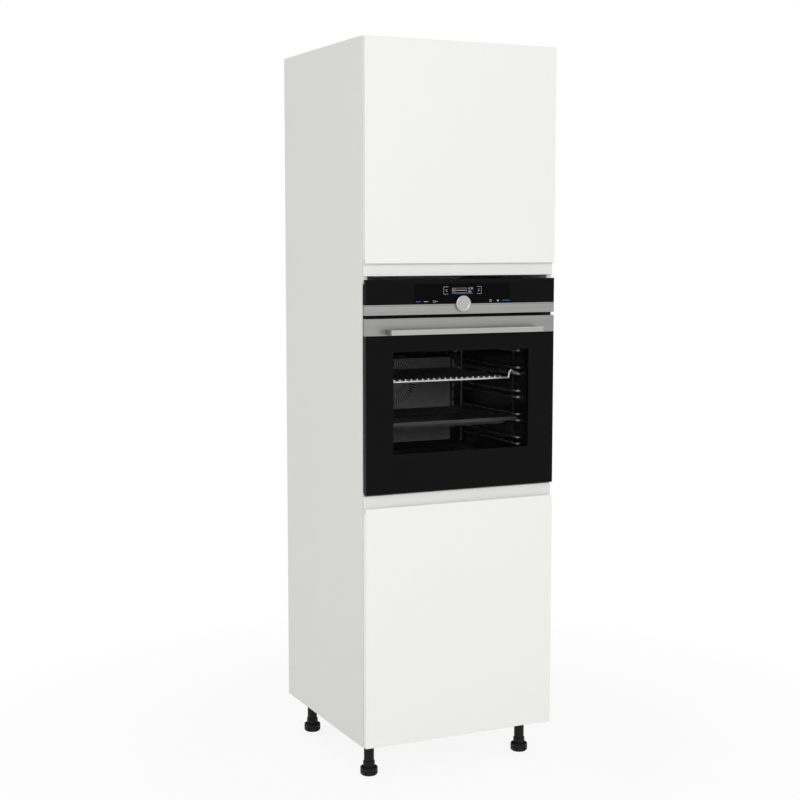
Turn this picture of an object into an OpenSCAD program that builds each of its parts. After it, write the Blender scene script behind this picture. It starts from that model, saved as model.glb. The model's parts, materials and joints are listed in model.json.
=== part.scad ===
// Tall kitchen cabinet with a built-in oven, two doors with grip grooves and adjustable legs.
// X is the width, Y the depth with the front towards -Y, Z the height above the floor.

/* [Cabinet] */
// Width of the cabinet body
body_w = 600; // [596:1:640]
// Depth of the cabinet body without its doors
body_d = 580; // [572:2:620]
// Height of the cabinet body without its legs
body_h = 1970; // [1850:10:2150]
// Thickness of the boards
board = 16; // [16:0.5:18]
// Clear height of the lower compartment
low_h = 694; // [560:2:760]
// Clear height of the oven niche
niche_h = 600; // [594:1:620]
// Thickness of the back panels
back_t = 3; // [2.5:0.5:4]
// Distance from the back panels to the rear edge of the sides
back_inset = 17; // [15:1:22]
// Depth of the grooves that hold the back panels
groove_d = 6; // [4:0.5:8]

/* [Doors] */
// Thickness of a door
door_t = 18; // [18:0.5:20]
// Gap between a door and the front edges of the boards
door_gap = 1.5; // [1.4:0.1:2]
// Margin between a door and the outer edge of the cabinet
door_margin = 2; // [1:0.5:3]
// Height of the grip groove
grip_h = 34.5; // [28:0.5:40]
// Thickness of the rear tongue behind the grip groove
tongue_t = 6; // [5:0.5:7]
// Thickness of the front lip of the grip groove
lip_t = 4; // [3:0.5:5]
// Depth of the cove below the lip
cove_d = 14; // [8:1:20]
// Distance from a door's end to the middle of its hinge
hinge_inset = 100; // [80:5:140]

/* [Legs] */
// Height of the legs with the feet screwed in
leg_h = 100; // [100:1:120]
// Travel of the screw feet
foot_travel = 50; // [30:1:50]
// Outer diameter of a leg post
post_d = 29; // [28:0.5:31]
// Diameter of the thread spindle of a foot
spindle_d = 20; // [16:0.5:22]
// Outer diameter of the castellated foot ring
ring_d = 50; // [44:1:56]
// Height of the castellated foot ring
ring_h = 23; // [18:1:24]
// Distance from the left legs to the outer left side
leg_left = 43; // [40:1:60]
// Distance from the right legs to the outer right side
leg_right = 64; // [45:1:80]
// Distance from the front legs to the front edge
leg_front = 55; // [45:1:70]
// Distance from the rear legs to the rear edge
leg_rear = 90; // [60:1:110]

/* [Oven] */
// Margin between the oven front and the outer edge of the cabinet
oven_margin = 2.5; // [2:0.5:4]
// Gap between the oven front and the top of the niche
oven_top_gap = 10; // [8:1:14]
// How far the oven front hangs below the niche floor
oven_drop = 5; // [4.5:0.5:6]
// Distance from the oven front face to the cabinet front
oven_face = 20; // [19.5:0.5:21]
// Height of the control panel
panel_h = 98; // [90:1:104]
// Gap between the control panel and the oven door
panel_gap = 9; // [6:1:12]
// Gap between the oven body and the boards at each side
casing_gap = 10; // [8:1:14]
// Gap between the oven body and the top of the niche
casing_head = 23; // [18:1:30]
// Distance from the oven body to the rear edge of the cabinet
casing_rear = 32; // [30:1:50]
// Space between the oven cavity and the oven body at each side
cavity_side = 34; // [31:1:39]
// Height of the oven cavity above the niche floor
cavity_lift = 46; // [44:1:52]
// Space above the oven cavity for the controls
cavity_head = 174; // [170:1:180]
// Space behind the oven cavity for the fan motor
cavity_rear = 113.8; // [100:0.2:120]
// Distance from the viewing window to the side of the oven cavity
window_side = 26; // [22:1:40]
// Height of the glass below the viewing window
window_low = 110.5; // [100:0.5:130]
// Height of the glass above the viewing window
window_head = 46.5; // [40:0.5:60]

/* [Handle and knob] */
// Distance from an end of the handle to the side of the oven
handle_end = 59; // [40:0.5:90]
// Height of the handle bar
handle_h = 15.2; // [12:0.2:18]
// Depth of the handle bar
handle_t = 12; // [9:0.5:14]
// Distance from the handle's front face to the cabinet front
handle_reach = 61.5; // [52:0.5:66]
// Diameter of the control knob
knob_d = 46; // [38:1:48]
// How far the knob stands out of the panel
knob_h = 8.5; // [8:0.5:24]

/* [Fits] */
// Radial clearance of a turning or sliding fit
fit = 0.05; // [0.03:0.01:0.08]
// Gap between parts that move past each other
slack = 0.5; // [0.4:0.1:0.6]

/* [Hidden] */
$fn = 48;
half_w = body_w/2;
inner_x = half_w - board;
front_y = -(body_d - handle_reach)/2;
base_z = leg_h;
low_z = base_z + board;
low_top = low_z + low_h;
niche_z = low_top + board;
niche_top = niche_z + niche_h;
up_z = niche_top + board;
top_z = base_z + body_h;
up_top = top_z - board;
back_y = body_d - back_inset - back_t;
shelf_gap = 0.5;
shelf_front = 20;
low_shelf_z = (low_z + low_top)/2 - board/2;
up_shelf_z = (up_z + up_top)/2 - board/2;
pin_d = 5;
pin_deep = 10;
pin_lug = [9, 10, 2.5];
pin_pitch = 32;
pin_ys = [57, back_y - 57];
cam_d = 15;
cam_h = 12.5;
cam_in = 24;
bolt_d = 6;
bolt_deep = 10;
cam_ys = [110, body_d - 150];
rail_h = 100;
wood_screw_d = 4;
screw_head_d = 8;
screw_head_h = 2;
screw_deep = 12;
bracket = [60, 2.5, 56];
bracket_drop = 4;
bracket_side = 15;
bracket_screw_y = body_d - 8;
bracket_screws = [20, 46];
wall_hole = [30, 32, 8];

// Doors
door_back = -door_gap;
door_front = door_back - door_t;
door_x = half_w - door_margin;
edge_r = 1.8;
bumper = [8, 0.2];
low_door_z = base_z + 1.5;
oven_low = niche_z - oven_drop;
low_door_top = oven_low - 3.5;
up_door_z = niche_top - 1;
up_door_top = top_z - 1.5;
low_hinge_zs = [low_door_z + hinge_inset, low_door_top - hinge_inset];
up_hinge_zs = [up_door_z + hinge_inset, up_door_top - hinge_inset];
hinge_zs = concat(low_hinge_zs, up_hinge_zs);

// Hinges: distances from the outer right side and the cabinet front edge
link_pivot = [-28.3, 11.1];
door_pivot = [-9.2, door_back - 7.1];
link_turn = [-18.9, door_back - 11.2];
link_t = 2;
link_w = 9;
link_pin_d = 3;
door_pin_d = 2.4;
cup_d = 35;
cup_deep = 13.5;
cup_x = -4 - door_margin - cup_d/2;
cup_pocket = [-38, -6.5];
cup_pocket_w = 10.6;
cup_wing = [28, 1.2, 62];
cheek_t = 1.5;
arm_far = -35.5;
arm_near = -21.5;
arm_back = 78;
arm_dip = 30;
plate_t = 3;
plate_ys = [26, 68];
plate_wing = [14, 48];
plate_screw_y = 37;
plate_screw_dz = 16;

// Legs
collar_d = 33.7;
collar_h = 17;
post_z = ring_h + collar_h;
flange_t = 3;
flange_w = 60;
flange_r = 8;
leg_xs = [-half_w + leg_left, half_w - leg_right];
leg_ys = [leg_front, body_d - leg_rear];
leg_spots = [for (y = leg_ys, x = leg_xs) [x, y]];
leg_screw = 22;
thread_hold = 5;
ring_slots = 6;
ring_slot = [4.6, 12.7];
ring_bevel = 4;
ring_turn = -15;
ring_wall = 3;
ring_well = 9;

// Oven body
sheet = 1.2;
face_y = 18;
oven_x = half_w - oven_margin;
oven_h = niche_h + oven_drop - oven_top_gap;
casing_x = inner_x - casing_gap;
casing_top = niche_top - casing_head;
casing_d = body_d - casing_rear;
base_plate_t = 2;
cavity_x = casing_x - cavity_side;
cavity_z = niche_z + cavity_lift;
cavity_top = casing_top - cavity_head;
cavity_h = cavity_top - cavity_z;
cavity_y = face_y + sheet;
cavity_back = casing_d - cavity_rear;
muffle_t = 4;
muffle_r = 12;
flange_x = oven_x - 0.5;
frame_t = 1.5;
fan_z = cavity_z + cavity_h*0.6;
fan_cover_y = cavity_back - 15;
fan_r = 58;
fan_shaft_d = 8;
fan_blades = 16;
fan_shaft_end = 40;
fan_blade_l = 20;
motor_plate_d = 96;
motor_d = 70;
motor_l = 48;
fan_cover_x = cavity_x - 54.5;
fan_rings = [[20, 40, 28, 2.6], [44, 68, 48, 3.4]];
louvre = [4.7, 4, 23];
louvre_pitch = 32;
louvre_x = fan_cover_x + 12;
fan_cover_t = 1.6;
fan_cover_zs = [cavity_z + 30, cavity_top - 68];
ring_heater_r = 82;
heater_d = 7;
lamp_spot = [cavity_x - 30, cavity_top - 36];
lamp_d = 34;
inlet_spot = [89 - casing_x, niche_z + 80];
grill_runs = 6;
grill_x = cavity_x - 90;
grill_ys = [cavity_y + 60, cavity_back - 40];
inlet_d = 12;
slot_pitch = 20;

// Racks: five levels, each a lower and an upper rail
wire_d = 5;
level_n = 5;
level_gap = 18.6;
level_z = cavity_z + 54;
level_top = cavity_top - 9.6;
level_pitch = (level_top - level_gap - level_z)/(level_n - 1);
rail_x = cavity_x - 8;
rack_x = cavity_x - 3.5;
rack_ys = [cavity_y + 51, cavity_back - 5.2];
shelf_level = 3;
tray_level = 1;
shelf_wire_d = 6;
shelf_x = rail_x - 3;
shelf_ys = [rack_ys[0] - 3, rack_ys[1] - 23];
shelf_rest = sqrt(pow((wire_d + shelf_wire_d)/2, 2) - pow(rail_x - shelf_x, 2));
shelf_wire_z = level_z + shelf_level*level_pitch + shelf_rest + 0.2;
shelf_drop = 13;
deck_z = shelf_wire_z - shelf_drop;
cross_d = 6;
cross_ys = [shelf_ys[0] + cross_d/2, (shelf_ys[0] + shelf_ys[1])/2, shelf_ys[1] - cross_d/2];
shelf_deck_x = shelf_x - 34;
shelf_bars = 20;
bar_d = 5;
bar_x = shelf_deck_x - 24;
arm_in = shelf_deck_x - shelf_x;
arm_foot = [[arm_in, -shelf_drop], [arm_in + 4, -shelf_drop]];
front_arm = concat(arm_foot, [[-27, 2], [-21, 10.5], [-14, 4], [-7, -2], [0, 0]]);
straight_arm = concat(arm_foot, [[0, 0]]);
tray_skirt = 9;
tray_rim_z = level_z + tray_level*level_pitch + wire_d/2 + 0.3 + tray_skirt;
tray_t = 1.5;
tray_depth = 20;
tray_in = 14;
tray_slope = 14;
tray_x = rail_x + 0.5;
seal_in = 4;

// Oven door: it turns about an axis inside its lower edge
glass_t = 4;
door_high = oven_low + oven_h - panel_h - panel_gap;
oven_door_back = -3;
pivot_r = 8.5;
pivot_y = oven_door_back - pivot_r;
pivot_z = oven_low + pivot_r;
trim_h = 47.5;
trim_z = door_high - trim_h;
window_x = cavity_x - window_side;
window_z = oven_low + window_low;
window_top = trim_z - window_head;
window_lap = 8;
pan_t = 2;
solid_edge = 12;
inner_x_half = cavity_x + 22;
inner_low = oven_low + 24;
inner_high = cavity_top + 20;
inner_back = face_y - 4;
seal_gap = 0.4;
seal_w = 9;
hinge_slot_x = [oven_x - 47.5, oven_x - 41.5];
oven_pin_d = 5;
tongue_bar_t = 3.6;
handle_z = door_high - 37;
handle_x = oven_x - handle_end;
handle_post_w = 12;
handle_post_in = 2;

// Control panel
panel_z = door_high + panel_gap;
panel_top = panel_z + panel_h;
strip_h = 28.5;
panel_t = 5;
housing_t = 1.5;
knob_z = panel_z + strip_h;
knob_shaft_d = 6;
knob_hole_d = 14;
display_w = 68;
display_zs = [knob_z + 26.5, knob_z + 44.5];

body_colour = "#D7D7D5";
edge_colour = "#E6E6E4";
door_colour = "#F0F0EE";
leg_colour = "#2A2A2A";
steel_colour = "#A6A6A6";
bright_colour = "#C4C4C4";
glass_colour = "#1A1A1C";
dark_colour = "#2E2E30";
plate_colour = "#8E9093";

// Shared shapes

// Points of an arc about a centre
function arc(c, r, a0, a1, n = 8) =
    [for (i = [0:n]) c + r*[cos(a0 + (a1 - a0)*i/n), sin(a0 + (a1 - a0)*i/n)]];

// Outline of a rectangle between two corners, with round corners
function round_rect(a, b, r, n = 6) = concat(
    arc([b[0] - r, b[1] - r], r, 0, 90, n), arc([a[0] + r, b[1] - r], r, 90, 180, n),
    arc([a[0] + r, a[1] + r], r, 180, 270, n), arc([b[0] - r, a[1] + r], r, 270, 360, n));

// Outline of a straight strip between two points
function strip(p, q, t) =
    let (d = (q - p)/norm(q - p), n = [-d[1], d[0]]*t/2) [p + n, q + n, q - n, p - n];

// Moves shapes from the cabinet front to the frame's origin
module placed() {
    translate([0, front_y, 0]) children();
}

// A block between two opposite corners
module box(a, b) {
    lo = [for (i = [0:2]) min(a[i], b[i])];
    hi = [for (i = [0:2]) max(a[i], b[i])];
    translate(lo) cube(hi - lo);
}

module rod_x(x0, x1, y, z, d, n = 48) {
    translate([min(x0, x1), y, z]) rotate([0, 90, 0]) cylinder(h = abs(x1 - x0), d = d, $fn = n);
}

module rod_y(y0, y1, x, z, d, n = 48) {
    translate([x, max(y0, y1), z]) rotate([90, 0, 0]) cylinder(h = abs(y1 - y0), d = d, $fn = n);
}

module rod_z(z0, z1, x, y, d, n = 48) {
    translate([x, y, min(z0, z1)]) cylinder(h = abs(z1 - z0), d = d, $fn = n);
}

// A rod between two points
module rod_between(p, q, d, n = 8) {
    v = q - p;
    translate(p) rotate([0, acos(v[2]/norm(v)), atan2(v[1], v[0])])
        cylinder(h = norm(v), d = d, $fn = n);
}

// Outline in the y and z directions, drawn out along X
module along_x(x0, x1) {
    translate([x0, 0, 0]) rotate([90, 0, 90]) linear_extrude(x1 - x0) children();
}

// Outline in the x and z directions, drawn out along Y
module along_y(y0, y1) {
    translate([0, y1, 0]) rotate([90, 0, 0]) linear_extrude(y1 - y0) children();
}

// Cabinet body

// Holes in one side board for shelf pins, cam bolts and bracket screws
module side_holes(side) {
    for (z = [low_shelf_z, up_shelf_z], y = pin_ys, i = [-2:2])
        rod_x(side*inner_x, side*(inner_x + pin_deep + 1), y,
              z - pin_lug[2]/2 + i*pin_pitch, pin_d + 2*fit);
    for (z = [base_z, low_top, niche_top, up_top], y = cam_ys)
        rod_x(side*inner_x, side*(inner_x + bolt_deep), y, z + board/2, bolt_d + 2*fit);
    for (dz = bracket_screws)
        rod_x(side*inner_x, side*(inner_x + screw_deep), bracket_screw_y, up_top - dz,
              wood_screw_d);
}

module side_board(side) {
    color(body_colour) placed() difference() {
        box([side*inner_x, 0, base_z], [side*half_w, body_d, top_z]);
        box([side*(inner_x - 1), back_y - fit, base_z - 1],
            [side*(inner_x + groove_d), back_y + back_t + fit, top_z + 1]);
        side_holes(side);
        if (side > 0) hinge_screw_spots() rod_x(0, screw_deep, 0, 0, wood_screw_d);
    }
}

module side_panel_left() {
    side_board(-1);
}

module side_panel_right() {
    side_board(1);
}

// Seats for the cams in one board and for their bolts
module cam_holes(z) {
    for (side = [-1, 1], y = cam_ys) {
        rod_z(z, z + cam_h + 0.2, side*(inner_x - cam_in), y, cam_d + 2*fit);
        rod_x(side*(inner_x - cam_in), side*inner_x, y, z + board/2, bolt_d + 2*fit);
    }
}

module top_panel() {
    color(body_colour) placed() difference() {
        box([-inner_x, 0, up_top], [inner_x, body_d, top_z]);
        box([-inner_x - 1, back_y - fit, up_top - 1],
            [inner_x + 1, back_y + back_t + fit, up_top + groove_d]);
        cam_holes(up_top);
    }
}

module bottom_panel() {
    color(body_colour) placed() difference() {
        box([-inner_x, 0, base_z], [inner_x, body_d, low_z]);
        box([-inner_x - 1, back_y - fit, low_z - groove_d],
            [inner_x + 1, back_y + back_t + fit, low_z + 1]);
        cam_holes(base_z);
        leg_screw_spots() rod_z(0, screw_deep, 0, 0, wood_screw_d);
    }
}

module fixed_board(z) {
    color(body_colour) placed() difference() {
        box([-inner_x, 0, z], [inner_x, back_y, z + board]);
        cam_holes(z);
    }
}

module niche_floor() {
    fixed_board(low_top);
}

module niche_ceiling() {
    fixed_board(niche_top);
}

module loose_shelf(z) {
    color(body_colour) placed()
        box([-inner_x + shelf_gap, shelf_front, z], [inner_x - shelf_gap, back_y - 4, z + board]);
}

module upper_shelf() {
    loose_shelf(up_shelf_z);
}

module lower_shelf() {
    loose_shelf(low_shelf_z);
}

module back_sheet(z0, z1) {
    reach = inner_x + groove_d - 0.5;
    color(edge_colour) placed() box([-reach, back_y, z0], [reach, back_y + back_t, z1]);
}

module back_panel_upper() {
    back_sheet(niche_top, up_top + groove_d - 0.5);
}

module back_panel_lower() {
    back_sheet(low_z - groove_d + 0.5, niche_z);
}

module back_rail() {
    color(body_colour) placed()
        box([-inner_x, body_d - board, niche_top - rail_h], [inner_x, body_d, niche_top]);
}

// One peg in its hole with the flat lug that carries the shelf
module shelf_pin(side, y, z) {
    rod_x(side*(inner_x - shelf_gap/2), side*(inner_x + pin_deep), y, z - pin_lug[2]/2, pin_d);
    box([side*(inner_x - pin_lug[0]), y - pin_lug[1]/2, z - pin_lug[2]],
        [side*inner_x, y + pin_lug[1]/2, z]);
}

module shelf_pins() {
    color(steel_colour) placed()
        for (z = [low_shelf_z, up_shelf_z], side = [-1, 1], y = pin_ys) shelf_pin(side, y, z);
}

// A cam in a board's underside with the bolt that it pulls
module cam(side, y, z) {
    difference() {
        rod_z(z, z + cam_h, side*(inner_x - cam_in), y, cam_d);
        translate([side*(inner_x - cam_in), y, z]) for (a = [0, 90])
            rotate(a) box([-4.5, -0.8, -1], [4.5, 0.8, 2.5]);
    }
    rod_x(side*(inner_x - cam_in), side*(inner_x + bolt_deep), y, z + board/2, bolt_d);
}

module cam_fittings() {
    color(plate_colour) placed()
        for (z = [base_z, low_top, niche_top, up_top], side = [-1, 1], y = cam_ys) cam(side, y, z);
}

// Angle plates behind the upper back panel, with a wall screw hole each
module wall_brackets() {
    high = up_top - bracket_drop;
    color(bright_colour) placed() for (side = [-1, 1]) difference() {
        union() {
            box([side*(inner_x - bracket[0]), body_d - bracket[1], high - bracket[2]],
                [side*inner_x, body_d, high]);
            box([side*(inner_x - bracket[1]), body_d - bracket_side, high - bracket[2]],
                [side*inner_x, body_d, high]);
        }
        rod_y(body_d - bracket[1] - 1, body_d + 1, side*(inner_x - wall_hole[0]),
              up_top - wall_hole[1], wall_hole[2]);
        for (dz = bracket_screws)
            rod_x(side*(inner_x - bracket[1] - 1), side*inner_x, bracket_screw_y, up_top - dz,
                  wood_screw_d + 2*fit);
    }
}

// Places of the screws that hold the hinge plates, on the inner face of the right side
module hinge_screw_spots() {
    for (z = hinge_zs, side = [-1, 1])
        translate([inner_x, plate_screw_y, z + side*plate_screw_dz]) children();
}

module leg_screw_spots() {
    for (spot = leg_spots, dx = [-1, 1], dy = [-1, 1])
        translate([spot[0] + dx*leg_screw, spot[1] + dy*leg_screw, base_z]) children();
}

module wood_screws() {
    color(bright_colour) placed() {
        hinge_screw_spots() {
            rod_x(-plate_t, screw_deep, 0, 0, wood_screw_d);
            rod_x(-plate_t - screw_head_h, -plate_t, 0, 0, screw_head_d);
        }
        leg_screw_spots() {
            rod_z(-flange_t, screw_deep, 0, 0, wood_screw_d);
            rod_z(-flange_t - screw_head_h, -flange_t, 0, 0, screw_head_d);
        }
        for (side = [-1, 1], dz = bracket_screws) {
            seat = inner_x - bracket[1];
            rod_x(side*seat, side*(inner_x + screw_deep), bracket_screw_y, up_top - dz,
                  wood_screw_d);
            rod_x(side*(seat - screw_head_h), side*seat, bracket_screw_y, up_top - dz,
                  screw_head_d - 1);
        }
    }
}

// Legs

module leg_sockets() {
    color(leg_colour) placed() for (spot = leg_spots) difference() {
        translate([spot[0], spot[1], base_z - flange_t]) linear_extrude(flange_t)
            polygon(round_rect([-flange_w/2, -flange_w/2], [flange_w/2, flange_w/2], flange_r));
        leg_screw_spots() rod_z(-flange_t - 1, 0, 0, 0, wood_screw_d + 2*fit);
    }
}

module leg_posts() {
    color(leg_colour) placed() for (spot = leg_spots) difference() {
        rod_z(post_z, base_z - flange_t, spot[0], spot[1], post_d);
        rod_z(post_z - 1, base_z - flange_t, spot[0], spot[1], spindle_d);
    }
}

// A screw foot: cup ring with grip notches from below, ribs round the collar, and the spindle
module foot(spot) {
    ring_r = ring_d/2;
    well_z = ring_h - ring_well;
    color(leg_colour) placed() translate([spot[0], spot[1], 0]) {
        difference() {
            rotate_extrude() polygon([
                [0, 0], [ring_r - ring_bevel, 0], [ring_r, ring_bevel], [ring_r, ring_h - 1],
                [ring_r - 1, ring_h], [ring_r - ring_wall, ring_h], [ring_r - ring_wall, well_z],
                [0, well_z]]);
            for (i = [0:ring_slots - 1]) rotate(ring_turn + i*360/ring_slots)
                box([ring_r - ring_bevel, -ring_slot[0]/2, -1], [ring_d, ring_slot[0]/2, ring_slot[1]]);
        }
        for (i = [0:ring_slots - 1]) rotate(ring_turn + (i + 0.5)*360/ring_slots)
            box([0, -ring_wall/2, well_z - 1],
                [ring_r - ring_wall/2, ring_wall/2, ring_h - ring_well/3]);
        rod_z(well_z - 1, post_z, 0, 0, collar_d);
        rod_z(post_z - 1, post_z + foot_travel + thread_hold, 0, 0, spindle_d - 2*fit);
    }
}

module foot_front_left() {
    foot([leg_xs[0], leg_ys[0]]);
}

module foot_front_right() {
    foot([leg_xs[1], leg_ys[0]]);
}

module foot_back_left() {
    foot([leg_xs[0], leg_ys[1]]);
}

module foot_back_right() {
    foot([leg_xs[1], leg_ys[1]]);
}

// Doors

// Outline of a door of a given height: plain end at zero, grip groove at the top
function door_outline(h) =
    let (lip = h - grip_h, tongue = door_back - tongue_t, mouth = door_front + lip_t,
         cove_r = (tongue - mouth)/2, small = 1)
    concat(
        arc([door_front + edge_r, edge_r], edge_r, 180, 270),
        arc([door_back - small, small], small, 270, 360, 4),
        arc([door_back - small, h - small], small, 0, 90, 4),
        arc([tongue + small, h - small], small, 90, 180, 4),
        arc([tongue - cove_r, lip - cove_d + cove_r], cove_r, 0, -180, 10),
        arc([mouth - small, lip - small], small, 0, 90, 4),
        arc([door_front + edge_r, lip - edge_r], edge_r, 90, 180));

module cup_bores(zs) {
    for (z = zs) rod_y(door_back - cup_deep, door_back + 1, half_w + cup_x, z, cup_d);
}

module lower_door() {
    color(door_colour) placed() difference() {
        translate([0, 0, low_door_z]) along_x(-door_x, door_x)
            polygon(door_outline(low_door_top - low_door_z));
        cup_bores(low_hinge_zs);
    }
}

module upper_door() {
    color(door_colour) placed() difference() {
        translate([0, 0, up_door_top]) mirror([0, 0, 1]) along_x(-door_x, door_x)
            polygon(door_outline(up_door_top - up_door_z));
        cup_bores(up_hinge_zs);
    }
}

module door_bumpers() {
    inset = 30;
    zs = [low_door_z + inset, low_door_top - 2*inset, up_door_z + 2*inset, up_door_top - inset];
    color("#F5F5F2") placed() for (z = zs)
        rod_y(door_back + bumper[1], 0, -half_w + board/2, z, bumper[0]);
}

// Cup hinges: the arm is fixed to the right side, the link turns between arm and cup

module hinge_plates() {
    color(plate_colour) placed() for (z = hinge_zs) difference() {
        union() {
            box([inner_x - plate_t, plate_ys[0], z - 8], [inner_x, plate_ys[1], z + 8]);
            box([inner_x - plate_t, plate_screw_y - plate_wing[0]/2, z - plate_wing[1]/2],
                [inner_x, plate_screw_y + plate_wing[0]/2, z + plate_wing[1]/2]);
            box([half_w + arm_far + cheek_t, plate_ys[0] + 14, z - link_w/2],
                [inner_x - 1, plate_ys[1], z + link_w/2]);
        }
        hinge_screw_spots() rod_x(-plate_t - 1, 0, 0, 0, wood_screw_d + 2*fit);
    }
}

// Side view of an arm's cheek, with a nose round the link pivot
module cheek_outline() {
    r = link_pivot[0] - arm_far;
    difference() {
        polygon(concat(
            arc([arm_far + 4, arm_back - 4], 4, 90, 180, 4),
            arc([link_pivot[0], link_pivot[1]], r, 180, 360, 12),
            [[arm_near, arm_dip], [arm_near, arm_back]]));
        translate(link_pivot) circle(d = link_pin_d);
    }
}

module hinge_arms() {
    inner_w = link_w/2 + slack + 0.2;
    color(bright_colour) placed() for (z = hinge_zs) translate([half_w, 0, z]) {
        for (side = [0, 1]) mirror([0, 0, side])
            translate([0, 0, inner_w]) linear_extrude(cheek_t) cheek_outline();
        box([arm_far, link_pivot[1] + 8, -inner_w - 0.5],
            [arm_far + cheek_t, arm_back - 4, inner_w + 0.5]);
        rod_z(-inner_w - cheek_t, inner_w + cheek_t, link_pivot[0], link_pivot[1], link_pin_d);
    }
}

// The cup in a door's bore, with screw wings and the pin for the link
module hinge_cups(zs) {
    color(bright_colour) placed() for (z = zs) translate([half_w, 0, z]) {
        difference() {
            union() {
                rod_y(door_back - cup_deep, door_back, cup_x, 0, cup_d - 2*fit);
                box([cup_x - cup_wing[0]/2 - 7, door_back, -cup_wing[2]/2],
                    [cup_x + cup_wing[0]/2 - 7, door_back + cup_wing[1], cup_wing[2]/2]);
            }
            box([cup_pocket[0], door_back - cup_deep + 0.9, -cup_pocket_w/2],
                [cup_pocket[1], door_back + 3, cup_pocket_w/2]);
        }
        rod_z(-8, 8, door_pivot[0], door_pivot[1], door_pin_d);
    }
}

module upper_hinge_cups() {
    hinge_cups(up_hinge_zs);
}

module lower_hinge_cups() {
    hinge_cups(low_hinge_zs);
}

// A bent link: from the arm's pin down into the cup and round to the cup's pin
module hinge_links(zs) {
    color(plate_colour) placed() for (z = zs) translate([half_w, 0, z - link_w/2])
        linear_extrude(link_w) difference() {
            union() {
                polygon(strip(link_pivot, link_turn, link_t));
                polygon(strip(link_turn, door_pivot, link_t));
                translate(link_turn) circle(d = link_t);
                translate(link_pivot) circle(d = link_pin_d + 3);
                translate(door_pivot) circle(d = door_pin_d + 2);
            }
            translate(link_pivot) circle(d = link_pin_d + 2*fit);
            translate(door_pivot) circle(d = door_pin_d + 2*fit);
        }
}

module upper_hinge_links() {
    hinge_links(up_hinge_zs);
}

module lower_hinge_links() {
    hinge_links(low_hinge_zs);
}

// Oven body

module oven_casing() {
    color(plate_colour) placed() difference() {
        box([-casing_x, cavity_y, niche_z + base_plate_t], [casing_x, casing_d, casing_top]);
        box([-casing_x + sheet, cavity_y - 1, niche_z],
            [casing_x - sheet, casing_d + 1, casing_top - sheet]);
        for (i = [-7:6]) translate([(i + 0.3)*slot_pitch, casing_d - 90, casing_top - 3])
            cube([8, 50, 6]);
    }
}

module oven_base() {
    color(plate_colour) placed()
        box([-casing_x, cavity_y, niche_z], [casing_x, casing_d, niche_z + base_plate_t]);
}

module oven_rear_cover() {
    color(plate_colour) placed() difference() {
        box([-casing_x, casing_d, niche_z + 4], [casing_x, casing_d + sheet, casing_top - 4]);
        for (i = [-6:5], drop = [60, 120])
            translate([(i + 0.3)*slot_pitch, casing_d - 1, casing_top - drop]) cube([7, 4, 42]);
        rod_y(casing_d - 1, casing_d + 3, inlet_spot[0], inlet_spot[1], inlet_d);
    }
}

// Terminal box on the rear, with the bore where the mains lead enters
module terminal_box() {
    size = [70, 22, 54];
    y0 = casing_d + sheet;
    color(dark_colour) placed() difference() {
        union() {
            box([inlet_spot[0] - size[0]/2, y0, inlet_spot[1] - size[2]/2],
                [inlet_spot[0] + size[0]/2, y0 + size[1], inlet_spot[1] + size[2]/2]);
            rod_y(y0, y0 + size[1] + 4, inlet_spot[0], inlet_spot[1], inlet_d + 10);
        }
        rod_y(y0 - 1, y0 + size[1] + 5, inlet_spot[0], inlet_spot[1], inlet_d);
    }
}

// Folded front frame: side flanges lie on the cabinet front, the face plate sits deeper
module front_frame() {
    color(plate_colour) placed() difference() {
        union() {
            for (side = [-1, 1], x = [flange_x, casing_x])
                box([side*(casing_x - sheet), -frame_t, niche_z + base_plate_t],
                    [side*x, x == flange_x ? 0 : cavity_y, casing_top]);
            box([-casing_x, face_y, niche_z], [casing_x, cavity_y, casing_top]);
        }
        along_y(face_y - 1, cavity_y + 1)
            polygon(round_rect([-cavity_x, cavity_z], [cavity_x, cavity_top], muffle_r));
        for (i = [-9:8])
            translate([(i + 0.15)*slot_pitch, face_y - 1, cavity_top + 92]) cube([14, 4, 6]);
    }
}

// The enamelled cavity, open at the front
module oven_cavity() {
    color(dark_colour) placed() difference() {
        along_y(cavity_y, cavity_back + muffle_t) polygon(round_rect(
            [-cavity_x - muffle_t, cavity_z - muffle_t],
            [cavity_x + muffle_t, cavity_top + muffle_t], muffle_r + muffle_t));
        along_y(cavity_y - 1, cavity_back)
            polygon(round_rect([-cavity_x, cavity_z], [cavity_x, cavity_top], muffle_r));
        rod_y(cavity_back - 1, cavity_back + muffle_t + 1, 0, fan_z, fan_shaft_d + 2);
    }
}

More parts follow.
